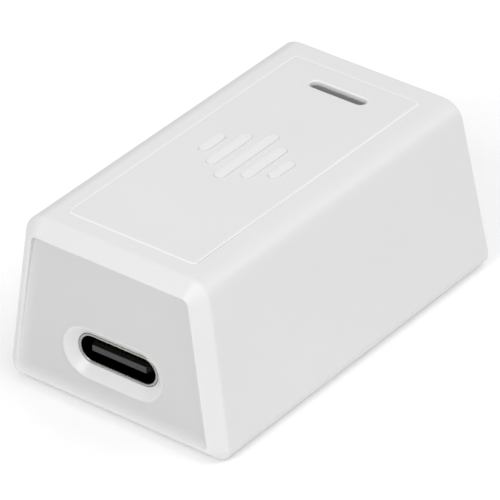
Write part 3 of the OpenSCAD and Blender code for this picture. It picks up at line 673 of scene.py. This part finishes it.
# %% Solder mask over glass cloth
def solder_mask():
    """Green mask over woven glass: two crossed waves, multiplied, give the weave.

    The wave texture draws a band every 2 pi / 20 units, so at this scale the threads lie 1 mm apart.
    A real weave is about half as wide, and would be too fine to show."""
    material, place = new_material("green solder mask over glass cloth")
    waves = [
        add_node(
            material, "ShaderNodeTexWave", {"Scale": per_mm(0.5) / 6.28, "bands_direction": way},
            {"Vector": place},
        ).outputs["Fac"]
        for way in ("X", "Y")
    ]
    weave = add_node(
        material, "ShaderNodeMath", {"operation": "MULTIPLY"}, {0: waves[0], 1: waves[1]}
    ).outputs["Value"]
    tones = [("#0c3a20", "#12502c")]
    return surface(material, weave, tones, (0.28, 0.36), {"IOR": 1.55}, (weave, 0.2, 0.004))


# %% Fired ceramic and adhesive film
def fired(name, dark, light, grain_mm, rough):
    """Fired ceramic or pressed film: a speckle of grains from a Voronoi texture."""
    material, place = new_material(name)
    grains = add_node(
        material, "ShaderNodeTexVoronoi", {"Scale": per_mm(grain_mm)}, {"Vector": place}
    ).outputs["Distance"]
    gloss = (rough - 0.05, rough + 0.05)
    return surface(material, grains, [(dark, light)], gloss, {"IOR": 1.6}, (grains, 0.15, 0.003))


fr4_board = solder_mask()
ferrite = fired("ferrite, ground", "#303033", "#3c3c40", 0.08, 0.55)
capacitor_ceramic = fired("barium titanate, fired", "#8d7350", "#a0865f", 0.07, 0.5)
resistor_ceramic = fired("black glaze on alumina", "#1a1a1f", "#26262c", 0.1, 0.35)
antenna_ceramic = fired("white antenna ceramic, fired", "#d9d6cd", "#e6e3da", 0.09, 0.45)
adhesive_film = fired("adhesive film, pressed", "#c7c1ac", "#d2ccb8", 0.3, 0.65)


# %% [markdown]
# ## Floor and light
#
# A product table is a sheet of opal acrylic under a dome of softboxes. A faint light from below takes
# the shadows off it. The strongest softbox stands at the front and the next ones to the right, so the
# chamfers that face them are brighter than the flat faces between. A dim even light fills the rest.

# %% Pale floor
FLOOR_HALF = 3000.0
FLOOR_CELLS = 40
TABLE_GLOW = 0.14
SHEET_WAVE = 40.0
grid = np.linspace(-FLOOR_HALF, FLOOR_HALF, FLOOR_CELLS + 1)
floor_x, floor_y = np.meshgrid(grid, grid, indexing="ij")
floor_points = np.stack([floor_x, floor_y, np.zeros_like(floor_x)], -1).reshape(-1, 3) * MM
row, column = np.meshgrid(np.arange(FLOOR_CELLS), np.arange(FLOOR_CELLS), indexing="ij")
first = (row * (FLOOR_CELLS + 1) + column).ravel()
floor_faces = np.stack([first, first + FLOOR_CELLS + 1, first + FLOOR_CELLS + 2, first + 1], -1)
floor_mesh = bpy.data.meshes.new("floor")
floor_mesh.from_pydata(floor_points.tolist(), [], floor_faces.tolist())
floor = bpy.data.objects.new("floor", floor_mesh)
bpy.context.scene.collection.objects.link(floor)

acrylic, acrylic_place = new_material("opal acrylic table, lit from below")
cloud = add_node(
    acrylic, "ShaderNodeTexNoise", {"Scale": per_mm(SHEET_WAVE), "Detail": 2.0}, {"Vector": acrylic_place}
).outputs["Fac"]
table_shader = {"IOR": 1.45, "Emission Strength": TABLE_GLOW}
surface(acrylic, cloud, [("#f0f0f0", "#f2f2f2")], (0.85, 0.95), table_shader)
floor_mesh.materials.append(acrylic)
print("floor:", 2 * FLOOR_HALF / 1000, "m square")

# %% Studio light
SKY = 0.3
world = bpy.data.worlds.new("studio")
world.use_nodes = True
sky = world.node_tree.nodes["Background"].inputs
sky["Color"].default_value = linear("#ffffff")
sky["Strength"].default_value = SKY
bpy.context.scene.world = world
bpy.context.scene.view_settings.view_transform = "Standard"

LAMP_AWAY = 900.0
LAMP_SIZE = 420.0
# Turn round the table from the front towards the right, and rise above it, in degrees; then watts
SOFTBOXES = [
    (0, 35, 3.0),
    (45, 35, 1.05),
    (135, 35, 1.35),
    (-135, 35, 0.57),
    (0, 65, 0.65),
    (90, 65, 1.8),
    (180, 65, 0.55),
    (-90, 65, 0.37),
]


def softbox(turn, rise, watts):
    """A square area lamp on a dome around the case, facing the middle of the table."""
    data = bpy.data.lights.new(f"softbox_{turn}_{rise}", "AREA")
    data.shape = "SQUARE"
    data.size = LAMP_SIZE * MM
    data.energy = watts
    made = bpy.data.objects.new(data.name, data)
    bpy.context.scene.collection.objects.link(made)
    a, e = np.radians([turn, rise])
    out = np.array([np.sin(a) * np.cos(e), -np.cos(a) * np.cos(e), np.sin(e)])
    made.location = Vector(out * LAMP_AWAY * MM)
    made.rotation_mode = "QUATERNION"
    made.rotation_quaternion = Vector(-out).to_track_quat("-Z", "Y")


for box in SOFTBOXES:
    softbox(*box)
print("softboxes:", len(SOFTBOXES), "with", round(sum(box[2] for box in SOFTBOXES), 2), "W")

# %% [markdown]
# ## Upper shell
#
# The upper shell is one moulding: roof, two sides, rear wall and the frame around the front face. It
# is drawn here as its outer form first, the outline carried from front to rear. The front profile
# turns through the 45 degree chamfer with softly rolled creases, and the rear loops lie in the leaning
# rear face.


# %% Outer form of the case
def sheared(x=0.0, z=0.0):
    """Stands an outline in the leaning rear face, keeping its X and Z: the second value is out along Y."""

    def place(flat, out):
        height = flat[:, 1] + z
        return np.column_stack([flat[:, 0] + x, rear_at(height) + out, height])

    return place


REAR_EDGE = 0.35
front_rows = soften([(2.2, 0.0), (CHAMFER, 0.0), (0.0, CHAMFER), (0.0, 4.0)], [0.16, 0.22])
turn = np.radians(np.linspace(0, 90, 7))
rear_rows = np.column_stack([REAR_EDGE * (1 - np.cos(turn)), -REAR_EDGE * (1 - np.sin(turn))])
stand, stand_rear = upright(), sheared()
case_loops = [stand(case_outline(inset), FRONT_Y + along) for inset, along in front_rows]
case_loops += [stand_rear(case_outline(inset), out) for inset, out in rear_rows]
shell = loft("upper_shell_moulding", case_loops)
print("outer form:", len(shell.data.polygons), "faces")

# %% [markdown]
# The hollow follows the walls. Behind the front lip the full section is open, where the panel sits,
# and further back the roof is thicker, because the inlay's pocket is cut into it. Four posts hang from
# the roof for the case screws. They are joined on after the hollow is cut.

# %% Hollow and posts
SIDE_WALL = WALL / np.cos(SIDE_LEAN)
REAR_WALL = WALL / np.cos(REAR_LEAN)
seat_outline = case_outline(WALL)


def wall_trapezoid(low_z, high_z):
    """Points of the hollow's section between the two side walls, from one height to another."""
    low_x, high_x = half_width(low_z) - SIDE_WALL, half_width(high_z) - SIDE_WALL
    return np.array([(low_x, low_z), (high_x, high_z), (-high_x, high_z), (-low_x, low_z)])


panel_seat = loft("panel_seat", [stand(seat_outline, y) for y in (PANEL_Y, PANEL_BACK_Y + FIT)])
roof_outline = seat_outline.copy()
roof_outline[:, 1] = np.minimum(roof_outline[:, 1], CEILING_Z)
upper_hollow = loft(
    "upper_hollow",
    [stand(roof_outline, PANEL_Y + 0.02), stand_rear(roof_outline, -REAR_WALL)],
)
lower = wall_trapezoid(RIM_Z - 0.6, RIM_Z + 6.0)
lower_hollow = loft("lower_hollow", [stand(lower, SILL_Y), stand_rear(lower, -REAR_WALL)])
combine(shell, [panel_seat, upper_hollow, lower_hollow])

POST_R = 1.4
BORE_R, BORE_DEPTH = 0.6, 5.0
screw_low, screw_high = box_mm("case_screws")
POST_X = screw_high[0] - POST_R
POST_Y = (screw_low[1] + POST_R, screw_high[1] - POST_R)
POST_LOW_Z = RIM_Z + 2.1
POST_SPAN = [(0, POST_LOW_Z), (0, CEILING_Z + 0.3)]
BORE_SPAN = [(0, POST_LOW_Z - 0.5), (0, POST_LOW_Z + BORE_DEPTH)]
spots = [level(side * POST_X, y) for side in (-1, 1) for y in POST_Y]
combine(shell, [carry("post", circle(POST_R, 32), POST_SPAN, spot) for spot in spots], "UNION")
bores = [carry("bore", circle(BORE_R, 20), BORE_SPAN, spot) for spot in spots]
combine(shell, bores)
print("hollowed:", len(shell.data.polygons), "faces,", open_edges(shell.data), "open edges")

# %% [markdown]
# The openings come last: the mouth in front of the panel, the pocket of the inlay, the slot of the
# light and the window of the rear panel. A cutter flares as it leaves the surface, which rolls the
# edge by up to a quarter of a millimetre. That small roll is what catches the light along a seam.

# %% Openings of the shell
LIP_ROLL = 0.24
mouth_rows = flare(LIP_ROLL, FRONT_Y, PANEL_Y + 0.05, outward=-1.0)
mouth = loft("mouth", [stand(case_outline(CHAMFER + LIP + inset), y) for inset, y in mouth_rows])

inlay_low, inlay_high = box_mm("top_inlay")
INLAY_W, INLAY_L = (inlay_high - inlay_low)[:2]
INLAY_Y = (inlay_low[1] + inlay_high[1]) / 2
INLAY_R = 0.5
POCKET_EASE, PLATE_EASE, EASE_DROP = 0.06, 0.26, 0.04
pocket = carry(
    "pocket",
    rounded_rectangle(INLAY_W, INLAY_L, INLAY_R),
    [
        (0.0, box_mm("inlay_adhesive")[0][2]),
        (0.0, TOP_Z - EASE_DROP),
        (-POCKET_EASE, TOP_Z),
        (-2 * POCKET_EASE, TOP_Z + EASE_DROP),
    ],
    level(0, INLAY_Y),
)
lens_low, lens_high = box_mm("indicator_lens")
SLOT_Y = (lens_low[1] + lens_high[1]) / 2
SLOT_L, SLOT_W = 6.2, 1.2
light_slot = carry(
    "light_slot", slot_outline(SLOT_L, SLOT_W), [(0, CEILING_Z - 0.5), (0, TOP_Z - 0.3)], level(0, SLOT_Y)
)
panel_low = box_mm("rear_panel")[0]
WINDOW_W = 2 * (POST_X + 0.2)
WINDOW_LOW, WINDOW_H, WINDOW_R = 2.4, 8.9, 1.2
window = carry(
    "window",
    rounded_rectangle(WINDOW_W, WINDOW_H, WINDOW_R),
    flare(0.18, 0.0, -WALL - 0.5),
    leaning(0, WINDOW_LOW + WINDOW_H / 2),
)
combine(shell, [mouth, pocket, light_slot, window])
settle(shell, CASE, "upper_shell", case_abs)

# %% [markdown]
# ## Front panel
#
# The sunken panel is a separate plate that drops in from inside. A funnel leads the plug into the
# inlet, and its lip is a soft bead that stands a tenth of a millimetre proud. A shallow cove around
# the rim rises to the lip of the case, so no sharp corner collects dust. The panel's outline and the
# port's slot are different shapes, so both are cast onto the same set of rays from the port's centre.
# The loops between them then pair up point by point.


# %% Outlines on common rays
def met_by_rays(outline, centre, angles):
    """Which edge of a closed outline each ray from the centre meets, and how far along that edge.

    A ray centre + s d meets the edge p + t (q - p) where the cross products balance:
    s = (p - centre) x e / (d x e) and t = (p - centre) x d / (d x e), with e = q - p."""
    p = outline - centre
    e = np.roll(p, -1, 0) - p
    d = np.stack([np.cos(angles), np.sin(angles)], -1)[:, None, :]
    across = d[..., 0] * e[:, 1] - d[..., 1] * e[:, 0]
    safe = np.where(np.abs(across) < 1e-12, 1e-12, across)
    s = (p[:, 0] * e[:, 1] - p[:, 1] * e[:, 0]) / safe
    t = (p[:, 0] * d[..., 1] - p[:, 1] * d[..., 0]) / safe
    edge = np.where((t > -1e-6) & (t < 1 + 1e-6) & (s > 0), s, -1.0).argmax(1)
    return edge, np.clip(t[np.arange(len(angles)), edge], 0, 1)[:, None]


def along_outline(outline, edge, share):
    """Points at those shares of those edges: (1 - share) * start + share * end."""
    return (1 - share) * outline[edge] + share * np.roll(outline, -1, 0)[edge]


def plate_with_hole(name, hole, rim, centre, rows, place, widest=0.0):
    """Ring-shaped solid between a hole and a rim.

    Rows are (which, inset, height): which is 0 for the hole's outline and 1 for the rim's, so that a
    positive inset always makes the loop smaller. The rays are cast once, on the hole at its widest and
    on the rim. Every other loop takes the same shares of the same edges, so the quads between loops
    stay square to the edge. A height may be a function of the loop's points. The last loop joins the
    first."""
    widest_loops = (hole(widest), rim(0.0))
    corners = np.concatenate(widest_loops) - centre
    angles = np.sort(np.arctan2(corners[:, 1], corners[:, 0]) % (2 * np.pi))
    angles = angles[np.concatenate([[True], np.diff(angles) > 2e-3])]
    met = [met_by_rays(loop, centre, angles) for loop in widest_loops]
    loops = []
    for which, inset, height in rows:
        flat = along_outline((hole, rim)[which](inset), *met[which])
        loops.append(place(flat, height(flat) if callable(height) else height))
    return loft(name, loops, ring=True)


# %% The panel and its funnel
usb_low, usb_high = box_mm("usb_shell")
USB_W = usb_high[0] - usb_low[0]
USB_H = 3.16
USB_Z = usb_high[2] - USB_H / 2
USB_Y, USB_BACK_Y = usb_low[1], usb_high[1]
USB_GAP = 0.02
FUNNEL = 1.0
port_centre = np.array([0.0, USB_Z])


def port_hole(inset=0.0):
    """Slot around the inlet's shell, with its clearance."""
    return slot_outline(USB_W + 2 * USB_GAP, USB_H + 2 * USB_GAP, 21)(inset) + port_centre


def panel_rim(inset=0.0):
    """Outline of the panel, a little inside the walls."""
    return case_outline(WALL + FIT + inset)


BEAD = 0.12
funnel_rows = soften(
    [
        (0.0, PANEL_BACK_Y),
        (0.0, USB_Y + 0.02),
        (-FUNNEL, PANEL_Y - BEAD),
        (-FUNNEL - 0.4, PANEL_Y),
        (-FUNNEL - 1.2, PANEL_Y),
    ],
    [0.05, 0.19, 0.19],
    9,
)
COVE_REACH, COVE_TOP_Y = 1.1, FRONT_Y + 0.09
seat_inset = CHAMFER + LIP - 0.05 - (WALL + FIT)
rim_low, rim_high = RIM_Z + CHAMFER + LIP, TOP_Z - CHAMFER - LIP


def cove_height(climb):
    """Height function of one cove loop.

    The rise goes with climb squared, and fades towards the roof as the square root of the share of
    height that is left."""
    rise = (COVE_TOP_Y - PANEL_Y) * climb**2
    tall = rim_high - rim_low
    return lambda flat: PANEL_Y + rise * np.sqrt(np.clip((rim_high - flat[:, 1]) / tall, 0.01, 1))


cove_rows = [
    (seat_inset + COVE_REACH * (1 - climb), cove_height(climb)) for climb in np.linspace(0, 1, 10)
]
rim_rows = [*cove_rows, (seat_inset, PANEL_Y + 0.01), (0.0, PANEL_Y + 0.01), (0.0, PANEL_BACK_Y)]
panel_rows = [(0, inset, y) for inset, y in funnel_rows[:-1]] + [(1, inset, y) for inset, y in rim_rows]
panel = plate_with_hole(
    "front_panel_moulding", port_hole, panel_rim, port_centre, panel_rows, upright(), -FUNNEL
)
points = np.empty(len(panel.data.vertices) * 3)
panel.data.vertices.foreach_get("co", points)
x, y, z = points.reshape(-1, 3).T / MM
# Distance outside the inlet's slot: from the slot's middle line, less the radius of its ends
off_slot = np.hypot(np.maximum(np.abs(x) - (USB_W - USB_H) / 2, 0), z - USB_Z) - USB_H / 2
# Painted light: the funnel, and the cove away from it, take the case's white instead of the face's greyer
# tone, through this point attribute
FUNNEL_EDGE, FUNNEL_FADE = FUNNEL + 0.14, 0.2
COVE_LIGHT_SHARE, COVE_OFF = 0.8, FUNNEL + 0.5
funnel_painted_light = np.clip((FUNNEL_EDGE - off_slot) / FUNNEL_FADE, 0, 1)
cove_painted_light = COVE_LIGHT_SHARE * np.clip((PANEL_Y - y) / (PANEL_Y - COVE_TOP_Y), 0, 1) * (off_slot > COVE_OFF)
painted_light = panel.data.attributes.new(PAINTED_LIGHT, "FLOAT", "POINT")
painted_light.data.foreach_set("value", np.maximum(funnel_painted_light, cove_painted_light))
print("recess:", round(PANEL_Y - FRONT_Y, 2), "mm, funnel:", round(USB_Y - PANEL_Y, 2), "mm deep")
settle(panel, CASE, "front_panel", panel_abs)

# %% [markdown]
# ## Top inlay and its symbol
#
# The inlay is a plate glued into a pocket, level with the case. Its edge is eased at a flat angle over
# a quarter of a millimetre, so the seam is a shallow bright border and not a dark gap. White plastic
# lets a little light through at a thin edge, and that light is a painted highlight here: the inlay's
# colour is lighter below its top face, so edges look whiter than the flat. The light's slot goes through
# the plate. The raised symbol is a plain row of five bars, the common sign for sound, each one a slot
# outline with a soft top edge.

# %% Inlay plate
INLAY_LOW_Z = inlay_low[2]


def slot_hole(inset=0.0):
    """The slot through the inlay; a negative inset opens it."""
    return slot_outline(SLOT_L, SLOT_W, 21)(inset) + [0, SLOT_Y]


def inlay_rim(inset=0.0):
    """Outline of the inlay plate."""
    return rounded_rectangle(INLAY_W, INLAY_L, INLAY_R, 10)(inset) + [0, INLAY_Y]


SLOT_ROLL = 0.2
hole_rows = soften([(0.0, INLAY_LOW_Z), (0.0, TOP_Z), (-0.6, TOP_Z)], [SLOT_ROLL], 7)
# The plate is this much larger than its pocket, so no light leaks through the seam
OVER = -0.01
edge_rows = soften(
    [(0.8, TOP_Z), (OVER + PLATE_EASE, TOP_Z), (OVER, TOP_Z - EASE_DROP), (OVER, INLAY_LOW_Z)],
    [0.12, 0.02],
    6,
)
inlay_rows = [(0, inset, z) for inset, z in hole_rows[:-1]] + [(1, inset, z) for inset, z in edge_rows[1:]]
inlay = plate_with_hole(
    "top_inlay_plate", slot_hole, inlay_rim, np.array([0.0, SLOT_Y]), inlay_rows,
    lambda flat, z: np.column_stack([flat, np.full(len(flat), z)]),
)
settle(inlay, CASE, "top_inlay", inlay_abs)

# %% Raised bars
BAR_W, BAR_PITCH = 1.1, 1.95
BAR_LENGTHS = (3.4, 6.2, 9.0, 6.2, 3.4)
symbol_top = box_mm("inlay_symbol")[1][2]
bar_rows = soften([(0.0, TOP_Z), (0.0, symbol_top), (0.4, symbol_top)], [0.08])
bars = [
    carry(
        "bar",
        lambda inset, length=length: slot_outline(length, BAR_W, 15)(inset)[:, ::-1],
        bar_rows,
        level((k - 2) * BAR_PITCH, INLAY_Y),
    )
    for k, length in enumerate(BAR_LENGTHS)
]
symbol = merge("inlay_symbol_bars", bars)
settle(symbol, CASE, "inlay_symbol", symbol_abs)

# %% [markdown]
# ## Status light
#
# The lens stands in the slot a little below the surface, on a flange that rests under the roof. Its
# top is crowned, which spreads the light sideways, so its border lies deeper than its middle.

# %% Smoked lens
lens_out = slot_outline(lens_high[0] - lens_low[0], lens_high[1] - lens_low[1], 19)
STEM_GAP, CROWN, CROWN_REACH = 0.1, 0.22, 0.42
stem_in = (lens_high[1] - lens_low[1] - (SLOT_W - 2 * STEM_GAP)) / 2
crown_in, crown_z = stem_in + CROWN_REACH, lens_high[2] - CROWN
lens_rows = [
    (0.0, lens_low[2]),
    (0.0, CEILING_Z),
    (stem_in, CEILING_Z),
    *soften([(stem_in, CEILING_Z + 0.2), (stem_in, crown_z), (crown_in, lens_high[2])], [0.1]),
]
lens = carry("smoked_light_lens", lens_out, lens_rows, level(0, SLOT_Y))
settle(lens, CASE, "indicator_lens", smoked_lens)

# %% [markdown]
# ## USB-C inlet
#
# The shell is stamped from steel strip and rolled closed, so its front rim is rounded on both edges.
# It is one profile carried around a slot outline: out along the outside, over the back and forward
# again on the inside. Four legs go down into the board.

# %% Rolled shell with its legs
SHELL_T = 0.3
shell_rows = soften(
    [(0.0, USB_BACK_Y), (0.0, USB_Y), (SHELL_T, USB_Y), (SHELL_T, USB_BACK_Y)], [0.14, 0.14], 7
)
tube = carry("tube", slot_outline(USB_W, USB_H, 25), shell_rows, upright(0, USB_Z), ring=True)
LEG_W, LEG_L, LEG_PLACES = 0.3, 1.2, (3.0, 6.0)
leg_x = USB_W / 2 - LEG_W / 2
legs = [
    carry(
        "leg",
        rounded_rectangle(LEG_W, LEG_L, 0.08, 3),
        soften([(0.1, usb_low[2]), (0.0, usb_low[2] + 0.3), (0.0, USB_Z)], [0.1], 3),
        level(side * leg_x, USB_Y + along),
    )
    for side in (-1, 1)
    for along in LEG_PLACES
]
inlet = merge("usb_inlet_shell", [tube, *legs])
settle(inlet, CASE, "usb_shell", nickel_shell)

# %% [markdown]
# Inside is the tongue: a thin blade of black polymer that carries twelve gold contacts on each face.
# Its corners are cut back at the tip, so that a plug finds its way. The blade is two skins around a
# steel plate, as in the CAD model. Its tip's face takes painted light, a lighter blue grey, and behind
# the tip the blade takes painted shade, a deeper black; the finish finds both by their depth.

# %% Polymer with painted light and shade
TONGUE_SHADE_START, TONGUE_SHADE_END = 0.005, 0.04


def tongue_with_painted_light(tip_y):
    """Black polymer with painted light at the tip, going over to painted shade from TONGUE_SHADE_START to
    TONGUE_SHADE_END behind it.
    """
    material, place = new_material("black polymer, painted light at the tip")
    scuff = add_node(
        material, "ShaderNodeTexNoise", {"Scale": per_mm(0.15), "Detail": 3.0}, {"Vector": place}
    ).outputs["Fac"]
    # Painted light and shade: 0 at the tip's face, which takes the lighter pair, 1 just behind it, which
    # takes the near black pair
    inside = zone_along(material, place, "Y", tip_y + TONGUE_SHADE_START, tip_y + TONGUE_SHADE_END)
    tones = [("#24272a", "#303336"), ("#0b0b0c", "#121213")]
    return surface(material, scuff, tones, (0.45, 0.6), {"IOR": 1.55}, zone=inside)


# %% Tongue with cut corners
tongue_low, tongue_high = box_mm("usb_tongue")
TONGUE_W = tongue_high[0] - tongue_low[0]
TONGUE_T = tongue_high[2] - tongue_low[2]
PLATE_T = 0.15
CUT, LEAD = 0.32, 0.8
TIP_ROLL = 0.04


def blade_part(name, s, low_z, high_z, corner, give=0.0):
    """A flat bar along the blade: a hexagon whose upper corners are cut by corner, at each distance s.

    Half its width is the full one less CUT * (1 - s / LEAD), and less give. Its height falls by
    TIP_ROLL * (1 - s / TIP_ROLL) at the very tip, which rolls the edge there."""
    s = np.array(s)
    half_w = TONGUE_W / 2 - CUT * np.clip(1 - s / LEAD, 0, 1) - give
    top = high_z - np.sign(high_z) * TIP_ROLL * np.clip(1 - s / TIP_ROLL, 0, 1)
    low = low_z + 0 * s
    if low_z * high_z < 0:
        low = -top
    step = corner * np.sign(high_z - low_z)
    x = np.stack([-half_w, half_w, half_w, half_w - corner, corner - half_w, -half_w], -1)
    z = np.stack([low, low, top - step, top, top, top - step], -1)
    y = np.repeat((tongue_low[1] + s)[:, None], 6, 1)
    return loft(name, np.stack([x, y, USB_Z + z], -1))


BLADE_L = tongue_high[1] - tongue_low[1]
NOSE_L = 0.14
skin_s = [NOSE_L, 0.45, LEAD, BLADE_L]
nose = blade_part("nose", [0.0, 0.02, TIP_ROLL, NOSE_L], -TONGUE_T / 2, TONGUE_T / 2, TIP_ROLL)
skins = [
    blade_part("skin", skin_s, side * PLATE_T / 2, side * TONGUE_T / 2, TIP_ROLL) for side in (-1, 1)
]
tongue = merge("usb_tongue_blade", [nose, *skins])
settle(tongue, CASE, "usb_tongue", tongue_with_painted_light(tongue_low[1]))
plate_top = PLATE_T / 2 - 0.002
plate = blade_part("tongue_mid_plate", [NOSE_L + 0.01, *skin_s[1:]], -plate_top, plate_top, 0.0, 0.02)
settle(plate, CASE, "usb_mid_plate", sheet_nickel)

# %% [markdown]
# ## Rear panel
#
# At the rear a sunken panel holds the audio jack and the pairing button. It lies in the leaning face,
# while both bores run level. So the jack's bore has its flare in the leaning plane, and the button's
# has it on the end of a short collar, which keeps the button from being pressed by accident.

# %% Panel with its bores and collar
RECESS = 0.4
jack_low, jack_high = box_mm("jack_bushing")
JACK_X, REAR_Z = (jack_low[0] + jack_high[0]) / 2, (jack_low[2] + jack_high[2]) / 2
BUSH_R = (jack_high[0] - jack_low[0]) / 2
cap_low, cap_high = box_mm("pairing_button")
BUTTON_X = (cap_low[0] + cap_high[0]) / 2
FLANGE_R, BUTTON_R, BUTTON_GAP = (cap_high[0] - cap_low[0]) / 2, 1.9, 0.15
BUTTON_BORE = BUTTON_R + BUTTON_GAP
COLLAR_T = 0.7
JACK_BORE = BUSH_R + 0.12
FLANGE_T, FLANGE_LAP = 0.8, 0.9
COVER_RISE = 1.5
middle = WINDOW_LOW + WINDOW_H / 2

rear = carry(
    "rear_panel_moulding",
    rounded_rectangle(WINDOW_W - 2 * FIT, WINDOW_H - 2 * FIT, WINDOW_R - FIT),
    soften([(0.0, -WALL - 0.02), (0.0, -RECESS), (0.9, -RECESS)], [0.12]),
    leaning(0, middle),
)
flange = carry(
    "flange",
    rounded_rectangle(WINDOW_W + 2 * FLANGE_LAP, WINDOW_H + 2 * FLANGE_LAP, WINDOW_R + FLANGE_LAP),
    [(0.0, -WALL - FLANGE_T), (0.0, -WALL)],
    leaning(0, middle),
)
collar_y = cap_high[1] - 0.45
collar = carry(
    "collar",
    circle(BUTTON_BORE + COLLAR_T, 96),
    soften([(0.0, panel_low[1] + 0.9), (0.0, collar_y), (COLLAR_T + 0.3, collar_y)], [0.14]),
    upright(BUTTON_X, REAR_Z),
)
combine(rear, [flange, collar], "UNION")
jack_bore = carry(
    "jack_bore",
    circle(JACK_BORE, 96),
    flare(0.16, -RECESS / np.cos(REAR_LEAN), -5.0),
    sheared(JACK_X, REAR_Z),
)
button_bore = carry(
    "button_bore",
    circle(BUTTON_BORE, 96),
    flare(0.1, collar_y, panel_low[1] - 1.0),
    upright(BUTTON_X, REAR_Z),
)
level_cut = carry(
    "level_cut",
    rounded_rectangle(30, 10, 0.1, 2),
    [(0, RIM_Z - 1), (0, RIM_Z + COVER_RISE + FIT)],
    level(0, panel_low[1] + 5.0),
)
combine(rear, [jack_bore, button_bore, level_cut])
settle(rear, CASE, "rear_panel", rear_abs)

# %% [markdown]
# ## Jack bushing
#
# The bushing is turned brass: a sleeve with a neck that sits in the jack's body, and a mouth with a
# small chamfer that guides the plug. A turned part is one profile around an axis.

# %% Turned bushing
NECK_R = BUSH_R - 0.3
PLUG_R = 1.8
MOUTH_CUT = 0.22
SLEEVE_R, SLEEVE_L = PLUG_R + 0.22, 1.6
bush_start, bush_end = jack_low[1], jack_high[1]
neck_end = bush_start + 1.2
SLEEVE_Y = bush_start + 0.2
mouth_rows = soften(
    [
        (0.0, neck_end),
        (0.0, bush_end),
        (BUSH_R - PLUG_R - MOUTH_CUT, bush_end),
        (BUSH_R - PLUG_R, bush_end - MOUTH_CUT),
        (BUSH_R - PLUG_R, bush_end - 1.0),
    ],
    [0.12, 0.06, 0.06],
    5,
)
turned_rows = [
    (BUSH_R - NECK_R, bush_start),
    (BUSH_R - NECK_R, neck_end),
    *mouth_rows,
    (BUSH_R - PLUG_R, SLEEVE_Y + SLEEVE_L),
    (BUSH_R - SLEEVE_R, SLEEVE_Y + SLEEVE_L),
    (BUSH_R - SLEEVE_R, SLEEVE_Y),
    (BUSH_R - PLUG_R, SLEEVE_Y),
    (BUSH_R - PLUG_R, bush_start),
]
bushing = carry("turned_jack_bushing", circle(BUSH_R, 128), turned_rows, upright(JACK_X, REAR_Z), ring=True)
settle(bushing, CASE, "jack_bushing", nickel_bushing)

# %% [markdown]
# ## Pairing button
#
# The button is a small cap with a dished end for the fingertip and a flange that keeps it in the
# panel. The dish is part of a sphere, so its depth at a radius r is R - sqrt(R^2 - r^2) below the rim.

# %% Dished cap
DISH_R = 9.0
dish_edge = BUTTON_R - 0.25
radii = np.linspace(dish_edge, 0.04, 12)
dish_y = cap_high[1] - (np.sqrt(DISH_R**2 - radii**2) - np.sqrt(DISH_R**2 - dish_edge**2))
CAP_FLANGE_Y = cap_low[1] + 0.6
cap_rows = [
    (0.0, cap_low[1]),
    (0.0, CAP_FLANGE_Y),
    *soften(
        [
            (FLANGE_R - BUTTON_R, CAP_FLANGE_Y),
            (FLANGE_R - BUTTON_R, cap_high[1]),
            (FLANGE_R - dish_edge, cap_high[1]),
        ],
        [0.16],
    ),
    *zip(FLANGE_R - radii[1:], dish_y[1:]),
]
cap = carry("pairing_button_cap", circle(FLANGE_R, 96), cap_rows, upright(BUTTON_X, REAR_Z))
settle(cap, BUTTON, "pairing_button", case_abs)

# %% [markdown]
# ## Foot pad
#
# The pad is a sheet of silicone rubber pressed in a plate mould, with a soft edge all round. It hides
# the case screws and keeps the box from sliding.

# %% Pressed pad
pad_low, pad_high = box_mm("foot_pad")
pad_size = pad_high - pad_low
pad_centre = (pad_high + pad_low) / 2
pad_rows = soften(
    [(0.6, pad_high[2]), (0.0, pad_high[2]), (0.0, pad_low[2]), (0.8, pad_low[2])], [0.1, 0.22], 6
)
pad = carry(
    "silicone_foot_pad",
    rounded_rectangle(pad_size[0], pad_size[1], 2.0, 12),
    pad_rows,
    level(pad_centre[0], pad_centre[1]),
)
settle(pad, CASE, "foot_pad", silicone)

# %% [markdown]
# ## Pieces kept from the CAD model
#
# Everything inside the case, and the bottom cover, keeps its CAD shape, because those shapes are
# already right. Each one takes the finish of its slot in the record.

# %% Finishes for the kept pieces
FINISHES = {
    "case_abs": case_abs,
    "panel_abs": rear_abs,
    "inlay_abs": inlay_abs,
    "adhesive": adhesive_film,
    "smoked_lens": smoked_lens,
    "clear_acrylic": clear_acrylic,
    "led_epoxy": led_epoxy,
    "silicone": silicone,
    "zinc_steel": zinc_steel,
    "fr4_board": fr4_board,
    "nickel_shell": sheet_nickel,
    "nickel_bushing": nickel_bushing,
    "black_polymer": black_polymer,
    "gold_contact": gold_contact,
    "tinned_lead": tinned_lead,
    "chip_epoxy": chip_epoxy,
    "ferrite": ferrite,
    "tantalum_case": tantalum_epoxy,
    "capacitor_ceramic": capacitor_ceramic,
    "resistor_ceramic": resistor_ceramic,
    "antenna_ceramic": antenna_ceramic,
}
kept = 0
for part in frame["record"]["subparts"]:
    node = frame["nodes"][part["node"]]
    if node.hide_render:
        continue
    if not node.material_slots:
        node.data.materials.append(None)
    for held in node.material_slots:
        held.material = FINISHES[part["material_slot"]]
    kept += 1
print("kept CAD pieces:", kept)
